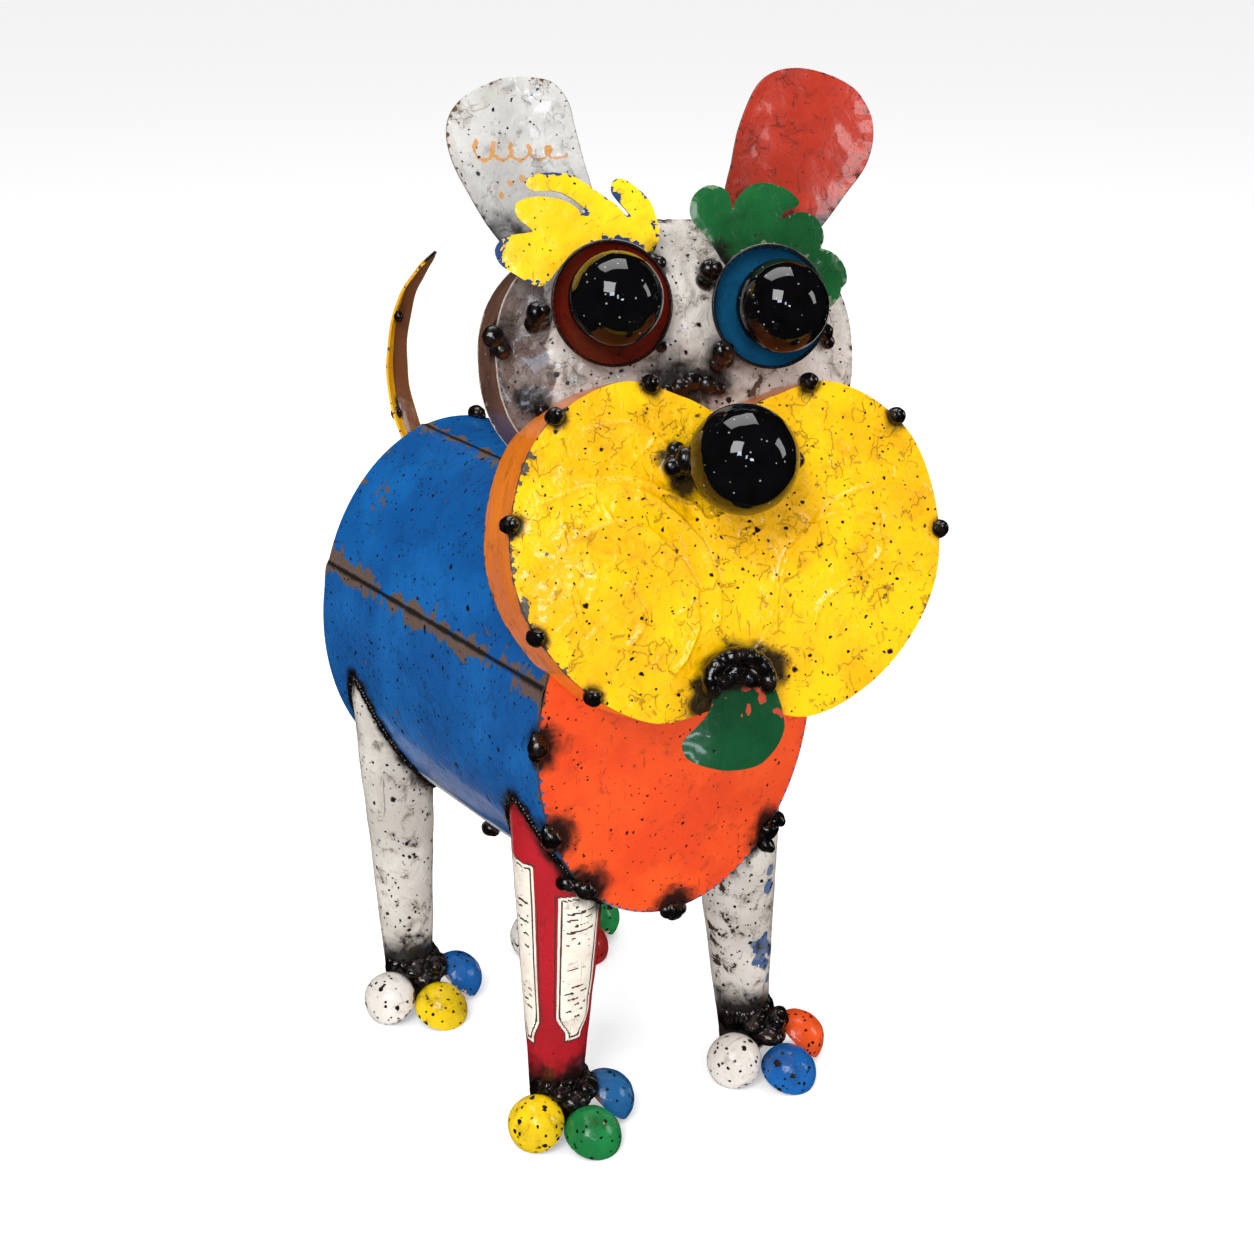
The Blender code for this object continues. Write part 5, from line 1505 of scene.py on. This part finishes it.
@dataclass
class Eye:
    """An eye: a black ball in an enamelled cup, with a snipped brow over it."""

    label: str
    centre: tuple[float, float]
    ball_shift: tuple[float, float]
    cup: Finish
    cup_slot: str
    brow: Finish
    brow_slot: str
    brow_outline: tuple[tuple[float, float], ...]
    seed: int
    rim: float = 28.0
    cup_depth: float = 10.0
    flat: float = 0.45
    ball_radius: float = 21.0

    def bottom(self, skull: Skull) -> float:
        """The depth of the cup's inner floor, seated on the face.

        Args:
            skull: gives the face's dish.

        Returns:
            y in the head's frame.
        """
        turn = np.linspace(0, 2 * math.pi, 20, endpoint=False)
        reach = self.rim * self.flat
        seat = skull.face_y(self.centre[0] + reach * np.cos(turn), self.centre[1] + reach * np.sin(turn)).min()
        return float(seat) - 2 * GAP - SHEET

    def bowl(self, bottom: float) -> None:
        """The cup, with a rolled and scorched rim.

        Args:
            bottom: y of its inner floor.
        """
        profile = smooth_path([(0.0, 0.0), (self.rim * self.flat * 0.6, 0.0), (self.rim * self.flat, -0.2),
                               (self.rim * 0.78, -3.0), (self.rim * 0.93, -7.0),
                               (self.rim - 1.6, -self.cup_depth + 0.6),
                               (self.rim - 0.7, -self.cup_depth - 0.2),
                               (self.rim - 0.1, -self.cup_depth + 0.3)], 6)
        turn = np.linspace(0, 2 * math.pi, 160, endpoint=False)[None]
        reach, deep = profile[:, :1], profile[:, 1:]
        rows = np.stack(np.broadcast_arrays(self.centre[0] + reach * np.cos(turn), bottom + deep,
                                            self.centre[1] + reach * np.sin(turn)), axis=-1)
        skin = grid_skin(rows, pole=True)
        out = np.sign(-skin.normals()[0, 1])
        skin = skin.pushed(out * skin.noise(14, self.seed, 2) * 0.25)
        edge = 1 - np.clip(skin.rim_distance() / 3, 0, 1)
        skin.masks["wear"] = edge * 0.3
        skin.masks["burn"] = np.clip(edge * 1.1 + 0.35 * step_up(skin.noise(18, self.seed + 4, 2), 0.15, 0.6),
                                     0, 1)
        made = Build.sheet(f"eye_cup_{self.label}_rolled", skin, Build.head, inward=int(out))
        finish(made, self.cup, self.cup_slot, "eye_cup_" + self.label)

    def lash(self, plane: float, skull: Skull) -> None:
        """The brow: snipped lobes that wrap the cup's top, curling back at their ends.

        Args:
            plane: y of the cup's rim.
            skull: gives the beads that scorch it.
        """
        middle = np.array(self.centre)
        away = np.array(self.brow_outline, float) - middle
        reach = np.linalg.norm(away, axis=1, keepdims=True)
        snug = np.where(reach < self.rim + 4.2, self.rim + GAP, reach)
        outline = smooth_path(middle + away / reach * snug, 5, closed=True)

        def bend(x: Array, z: Array) -> Array:
            """Curls the lobes back, more the further they reach."""
            away = (np.hypot(x - self.centre[0], z - self.centre[1]) - self.rim) / self.rim
            return plane + 3.0 * np.clip(away, 0, 2) ** 2 - 0.4

        skin = cut_skin(outline, 1.1, bend)
        out = np.sign(-skin.normals()[:, 1].mean())
        edge = 1 - np.clip(skin.rim_distance() / 6, 0, 1)
        depth = skin.noise(13, self.seed + 7,
                           2) * 1.3 - hammer_marks(skin.points, 8, self.seed) * 0.45 - edge**2 * 0.7
        skin = skin.pushed(out * depth)
        skin.masks["wear"] = np.clip(edge**2 * 1.2 * step_up(skin.noise(17, self.seed + 2, 2), -0.6, 0.5), 0, 1)
        skin.masks["burn"] = near(skin.points, np.array([(x, plane, z) for x, _, z in skull.eye_beads]), 17)
        made = Build.sheet(f"brow_{self.label}_snipped", skin, Build.head, inward=int(out))
        finish(made, self.brow, self.brow_slot, "brow_" + self.label)

    def build(self, skull: Skull) -> None:
        """Makes and dresses the eye.

        Args:
            skull: carries it.
        """
        bottom = self.bottom(skull)
        self.bowl(bottom)
        middle = (self.centre[0] + self.ball_shift[0], bottom - GAP - self.ball_radius,
                  self.centre[1] + self.ball_shift[1])
        Balls.ball(f"eye_ball_{self.label}_lacquered", middle, self.ball_radius, self.seed,
                   "eye_ball_" + self.label)
        self.lash(bottom - self.cup_depth, skull)


@dataclass
class Ear:
    """A tall ear of sheet, hollow towards the front."""

    label: str
    outline: tuple[tuple[float, float], ...]
    root: tuple[float, float]
    tilt: float
    paint: Finish
    slot: str
    seed: int
    plane: float = 62.0
    hollow: float = 9.0

    def build(self) -> None:
        """Makes and dresses the ear."""
        lean = math.radians(self.tilt)

        def bend(x: Array, z: Array) -> Array:
            """The trough along the ear's length."""
            across = (x - self.root[0]) * math.cos(lean) + (z - self.root[1]) * math.sin(lean)
            return self.plane - self.hollow * (across / 30) ** 2

        skin = cut_skin(smooth_path(self.outline, 6, closed=True), 1.25, bend)
        out = np.sign(-skin.normals()[:, 1].mean())
        edge = 1 - np.clip(skin.rim_distance() / 5, 0, 1)
        depth = skin.noise(15, self.seed, 2) * 0.8 - hammer_marks(skin.points, 9, self.seed + 1) * 0.5
        skin = skin.pushed(out * depth * (1 - edge * 0.6))
        skin.masks["wear"] = np.clip(edge**4 * 0.75 + 0.15
                                     * step_up(skin.noise(16, self.seed + 3, 2), 0.1, 0.5), 0, 1)
        low = np.clip(1 - (skin.points[:, 2] - self.root[1] - 4) / 22, 0, 1)
        skin.masks["burn"] = low * 0.6 + edge**6 * 0.35
        panel = np.zeros(len(skin.points))
        if self.label == "right":
            panel = self.faded_marks(skin.points)
        skin.masks["panel"], skin.masks["ink"] = panel, np.zeros(len(skin.points))
        made = Build.sheet(f"ear_{self.label}_beaten", skin, Build.head, inward=int(out))
        finish(made, self.paint, self.slot, "ear_" + self.label)

    def faded_marks(self, points: Array) -> Array:
        """A row of faded orange dabs and rings that say nothing.

        Args:
            points: places in millimetres.

        Returns:
            A mask from 0 to 1.
        """
        mask = np.zeros(len(points))
        x, z = points[:, 0] + soft_noise(points, 5, 6) * 0.9, points[:, 2] + soft_noise(points, 5, 8) * 0.9
        share = np.linspace(0, 1, 60)
        wave = np.stack([-98 + 42 * share + 2.6 * np.cos(31 * share),
                         146 - 2 * share + (4.6 - 2 * share) * np.sin(31 * share)], axis=1)
        stroke = along_line(x, z, wave.tolist())
        mask = step_up(1.15 - stroke, 0, 0.7) * 0.68
        for cx, cz in ((-80, 131), (-74, 133), (-66, 132), (-58, 130), (-85, 125)):
            mask = np.maximum(mask, step_up(2.1 - np.hypot(x - cx, z - cz), 0, 0.8) * 0.75)
        return mask


@dataclass
class Mouth:
    """A rolled lip of weld metal with a green tongue hung from under it."""

    point: tuple[float, float] = (-9.0, -86.0)
    tongue_outline: tuple[tuple[float, float], ...] = (
        (-20, -95), (-12, -93), (-2, -93), (6, -95), (9, -107), (10, -116), (9, -121), (5, -127),
        (-2, -132.5), (-9, -134.5),
        (-19, -134.5), (-27, -132.5), (-34, -129.5), (-37, -126.5), (-38, -122), (-36, -118.5), (-30, -113.5),
        (-25, -108.5), (-22, -103))

    def lip(self) -> None:
        """The lip: an arch of run weld, ridged, with a dark pocket under it."""
        x, top = self.point
        blobs = []
        for i in range(40):
            turn = math.pi * (1.1 - 1.2 * i / 39)
            swell = 0.3 * math.sin(i * 1.9)
            blobs.append(((x + 13.5 * math.cos(turn), -6.0 + 0.3 * math.cos(i * 0.9),
                           top - 10 + 11 * math.sin(turn)),
                          (4.1 + 0.6 * swell, 4.4 + swell, 4.1 + 0.6 * swell)))
        blobs += [((x + dx, -3.4, top - 7 + dz), (5.5, 3.6, 5.0)) for dx, dz in ((-7, -3), (0, 0), (7, -3))]
        finish(Build.lump("mouth_lip_weld", blobs, Build.head, 171), Finish.WELD, "weld_steel", "mouth_lip")

    def tongue(self) -> None:
        """The tongue, with torn patches of red paint near its root."""
        x0, top = self.point

        def bend(x: Array, z: Array) -> Array:
            """Rolls out from under the lip, then hangs."""
            share = np.clip((top - 8 - z) / 41, 0, 1)
            return -3 - 8 * np.sin(np.pi * np.minimum(share * 1.6, 1)
                                   / 2) + 2.4 * ((x - x0 + 8 * share) / 24) ** 2

        skin = cut_skin(smooth_path(self.tongue_outline, 5, closed=True), 0.9, bend)
        out = np.sign(-skin.normals()[:, 1].mean())
        edge = 1 - np.clip(skin.rim_distance() / 4, 0, 1)
        skin = skin.pushed(out * skin.noise(11, 181, 2) * 0.5)
        torn = skin.noise(8, 183, 3)
        high = step_up(skin.points[:, 2], -124, -102)
        skin.masks["panel"] = step_up(torn + 0.42 * high - 0.66, 0.0, 0.12) * 0.9
        skin.masks["wear"] = edge**3 * 0.5
        skin.masks["burn"] = np.clip((skin.points[:, 2] + 103) / 6, 0, 1)
        finish(Build.sheet("tongue_snipped", skin, Build.head, inward=int(out)), Finish.TONGUE,
               "green_enamel", "tongue")

    def build(self) -> None:
        """Makes and dresses the mouth."""
        self.lip()
        self.tongue()


@dataclass
class Tail:
    """A tapering trough of sheet that curls up from the rump."""

    path: tuple[tuple[float, float], ...] = (
        (212.4, 262), (232, 271), (252, 286), (264, 310), (263, 337), (250, 365), (232, 382), (215, 393))
    width: float = 15.0
    trough: float = 6.0

    def build(self) -> None:
        """Makes and dresses the tail."""
        line = smooth_path([(0, *p) for p in self.path], 14)
        way = np.gradient(line, axis=0)
        way /= np.linalg.norm(way, axis=1, keepdims=True)
        forward = np.cross(np.array([1.0, 0, 0]), way)
        share = np.linspace(0, 1, len(line))[:, None]
        taper = np.sqrt(np.maximum(1 - share**2.2, 0.03))
        across = np.linspace(-1, 1, 25)[None]
        ragged = 1 + 0.03 * np.sin(share * 41) * (np.abs(across) > 0.9)
        rows = line[:, None, :] + np.array([1.0, 0, 0]) * (across * self.width / 2 * taper * ragged)[..., None]
        rows = rows + forward[:, None, :] * (self.trough * taper * np.abs(across) ** 1.3)[..., None]
        skin = grid_skin(rows, wrap=False)
        middle = len(line) // 2 * 25 + 12
        out = np.sign(-(skin.normals()[middle] @ forward[len(line) // 2]))
        edge = 1 - np.clip(skin.rim_distance() / 3, 0, 1)
        skin = skin.pushed(out * skin.noise(14, 191, 2) * 0.4)
        skin.masks["wear"] = edge**2 * 0.45
        tip = step_up(np.repeat(share[:, 0], 25), 0.9, 0.98)
        root = 1 - step_up(np.repeat(share[:, 0], 25), 0.0, 0.12)
        skin.masks["burn"] = np.maximum(np.maximum(tip, root),
                                        near(skin.points, np.array([[0, 262, 300], [0, 258, 352]], float), 9))
        side = np.tile(np.linspace(-1, 1, 25), len(line))
        skin.masks["inside"] = step_up(side, 0.08, 0.16)
        skin.masks["burn"] = np.maximum(skin.masks["burn"], np.exp(-(((side - 0.12) / 0.09) ** 2)))
        finish(Build.sheet("tail_trough", skin, Build.body, inward=int(out)), Finish.TAIL, "yellow_enamel",
               "tail")
        blobs = [((0, 213, 262), (7.5, 4.5, 6.5)), ((4, 215, 266), (4, 4, 4)),
                 ((-3, 257, 297), (3.2, 3.2, 3.8)), ((-3, 250, 352), (2.6, 2.8, 3.2))]
        finish(Build.lump("tail_welds", blobs, Build.body, 195), Finish.WELD, "weld_steel")


@dataclass
class Studio:
    """A pale floor, soft lights and the photograph's camera."""

    lens: float = 63.16
    eye: tuple[float, float, float] = (-0.5645, -0.7642, 0.6281)
    azimuth: float = -35.0
    pitch: float = 21.5

    def light(self, name: str, place: tuple[float, float, float], size: tuple[float, float], power: float,
              colour: tuple[float, float, float] = (1, 1, 1)) -> None:
        """One soft box that faces the dog.

        Args:
            name: its name.
            place: where it hangs, in metres.
            size: its width and height in metres.
            power: in watts.
            colour: of its light.
        """
        lamp = bpy.data.lights.new(name, "AREA")
        lamp.shape, lamp.size, lamp.size_y, lamp.energy, lamp.color = "RECTANGLE", *size, power, colour
        made = bpy.data.objects.new(name, lamp)
        bpy.context.scene.collection.objects.link(made)
        made.location = place
        made.rotation_euler = (Vector((0, 0, 0.24)) - Vector(place)).to_track_quat("-Z", "Y").to_euler()

    def build(self) -> None:
        """Makes the floor, lights and camera."""
        world = bpy.data.worlds.new("pale_studio")
        world.use_nodes = True
        world.node_tree.nodes["Background"].inputs["Color"].default_value = (1, 1, 1, 1)
        world.node_tree.nodes["Background"].inputs["Strength"].default_value = 0.62
        # The walls are black cards: gloss shows the soft boxes alone, as in the photograph
        world.cycles_visibility.glossy = False
        bpy.context.scene.world = world
        reach = 30.0
        mesh = bpy.data.meshes.new("floor")
        mesh.from_pydata([(-reach, -reach, -0.0002), (reach, -reach, -0.0002), (reach, reach, -0.0002),
                          (-reach, reach, -0.0002)], [], [(0, 1, 2, 3)])
        floor = bpy.data.objects.new("floor", mesh)
        bpy.context.scene.collection.objects.link(floor)
        paper = bpy.data.materials.new("white_paper")
        paper.use_nodes = True
        shader = paper.node_tree.nodes["Principled BSDF"]
        shader.inputs["Base Color"].default_value = linear("#F4F4F4")
        shader.inputs["Roughness"].default_value = 0.9
        shader.inputs["Specular IOR Level"].default_value = 0.1
        shader.inputs["Emission Color"].default_value = (1, 1, 1, 1)
        shader.inputs["Emission Strength"].default_value = 0.34
        floor.visible_glossy = False
        mesh.materials.append(paper)
        self.light("key_left", (-1.3, -1.0, 1.7), (0.9, 0.9), 24)
        self.light("top", (0.1, 0.3, 2.0), (1.4, 0.9), 16)
        self.light("fill_right", (1.5, -1.3, 1.0), (0.5, 0.9), 7)
        self.light("window_a", (-1.0, -1.05, 1.02), (0.26, 0.17), 2.6, (0.66, 0.8, 1.0))
        self.light("window_b", (-0.72, -1.3, 0.86), (0.1, 0.2), 1.1, (0.7, 0.84, 1.0))
        self.light("window_c", (-0.5, -1.45, 0.7), (0.14, 0.08), 0.8, (0.8, 0.9, 1.0))
        lens = bpy.data.cameras.new("camera")
        lens.lens, lens.sensor_width = self.lens, 36.0
        camera = bpy.data.objects.new("camera", lens)
        bpy.context.scene.collection.objects.link(camera)
        camera.location = Vector(self.eye) + Build.shift
        camera.rotation_euler = (math.radians(90 - self.pitch), 0, math.radians(self.azimuth))
        bpy.context.scene.camera = camera
        bpy.context.scene.view_settings.view_transform = "Standard"


YELLOW_BROW = (
    (-79, 81), (-86, 83), (-92, 87), (-97, 91), (-99, 96), (-97.5, 100), (-93, 103), (-85, 104), (-82, 105),
    (-87, 110), (-88.5, 114),
    (-87, 118), (-79, 120), (-70, 118.5), (-64, 116), (-59, 112), (-57.5, 113.5), (-64, 119), (-71, 122),
    (-79, 122.5), (-82.5, 125),
    (-81, 128), (-76, 130), (-69, 130), (-61, 128), (-52, 122), (-44, 116), (-39, 110.5), (-38, 112),
    (-41, 116), (-44.5, 121),
    (-44, 125), (-41, 127), (-37, 126), (-32, 122), (-27, 116), (-25, 109), (-24.5, 101), (-28.5, 93),
    (-33, 98), (-39, 100.5),
    (-48, 101.5), (-58, 99.5), (-66, 96), (-72, 91))
GREEN_BROW = (
    (-3, 101), (-6, 104), (-8.5, 109), (-8.5, 114), (-6, 119), (-1, 122.5), (4, 123), (9, 120.5), (10.5, 116),
    (10.5, 112), (13, 116),
    (18, 121), (24, 123.5), (31, 123), (38, 120.5), (43, 115.5), (42, 112.5), (36, 110.5), (34, 107),
    (38, 108.5), (44, 110),
    (50, 107.5), (53.5, 102), (53.5, 97), (52, 93.5), (56, 92), (61, 88.5), (64, 83), (64, 78), (61, 75),
    (58.8, 70.4), (54.2, 67),
    (53, 76), (49, 84), (43, 91), (35, 95.5), (26, 97.5), (16, 96.5), (8, 92.5), (3, 90))
RIGHT_EAR = (
    (-74, 92), (-89, 107), (-96, 117), (-102, 128), (-107, 139), (-109, 149), (-108, 158), (-104, 165),
    (-97, 171), (-89, 175),
    (-80, 178), (-71, 178), (-62, 176), (-57, 172), (-53, 165), (-51, 156), (-48.5, 145), (-45.5, 133),
    (-42, 118), (-40, 100))
LEFT_EAR = (
    (14, 104), (18, 115), (21, 126), (24, 137), (27, 149), (31, 159), (36, 168), (42, 175), (52, 180),
    (62, 181.5), (72, 180.5),
    (82, 177), (90, 171), (94, 163), (95.4, 155), (93.6, 144), (88.5, 133), (79.5, 122), (71.5, 112),
    (62, 101), (54, 92), (36, 94))


def legs() -> list[Leg]:
    """The four legs, with the feet where the frame has them."""
    cream = (Finish.TOE_CREAM, "cream_enamel")
    blue = (Finish.TOE_BLUE, "blue_enamel")
    yellow = (Finish.TOE_YELLOW, "yellow_enamel")
    return [
        Leg("front_right", (-59, 20), (0.045, 0.02), 0.077, Finish.LEG_RED, "red_enamel",
            (yellow, (Finish.TOE_GREEN, "green_enamel"), (Finish.TOE_TEAL, "teal_enamel")), seed=11),
        Leg("front_left", (59, 20), (-0.045, 0.02), 0.077, Finish.LEG_CREAM, "cream_enamel",
            (cream, blue, (Finish.TOE_ORANGE, "orange_enamel")), (-5, -11), seed=12),
        Leg("rear_right", (-60, 163), (0.02, 0.07), 0.056, Finish.LEG_CREAM, "cream_enamel",
            (cream, yellow, blue), seed=13),
        Leg("rear_left", (40, 175), (0.1, 0.0), 0.056, Finish.LEG_CREAM, "cream_enamel",
            (cream, (Finish.TOE_RED, "red_enamel"), (Finish.TOE_GREEN, "green_enamel")), seed=14),
    ]


def main() -> None:
    """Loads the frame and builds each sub-assembly in order."""
    logging.basicConfig(level=logging.INFO, format="%(message)s")
    for old in list(bpy.data.objects):
        bpy.data.objects.remove(old, do_unlink=True)
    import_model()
    low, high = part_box("barrel_shell")
    Build.shift = Vector(((low.x + high.x) / 2, low.y, 0.0))
    skull, standing = Skull(), legs()
    Barrel(legs=tuple(standing)).build()
    for leg in standing:
        leg.build()
    skull.build()
    Muzzle().build()
    Eye("right", (-48, 72), (-2, 1), Finish.MAROON, "maroon_enamel", Finish.BROW_YELLOW, "yellow_enamel",
        YELLOW_BROW, 201).build(skull)
    Eye("left", (26, 68), (1, -1), Finish.TEAL, "teal_enamel", Finish.GREEN, "green_enamel", GREEN_BROW,
        202).build(skull)
    Ear("right", RIGHT_EAR, (-63, 104), 19, Finish.EAR_CREAM, "cream_enamel", 211).build()
    Ear("left", LEFT_EAR, (41.5, 106), -25, Finish.RED, "red_enamel", 212).build()
    Mouth().build()
    Tail().build()
    Studio().build()


if __name__ == "__main__":
    main()
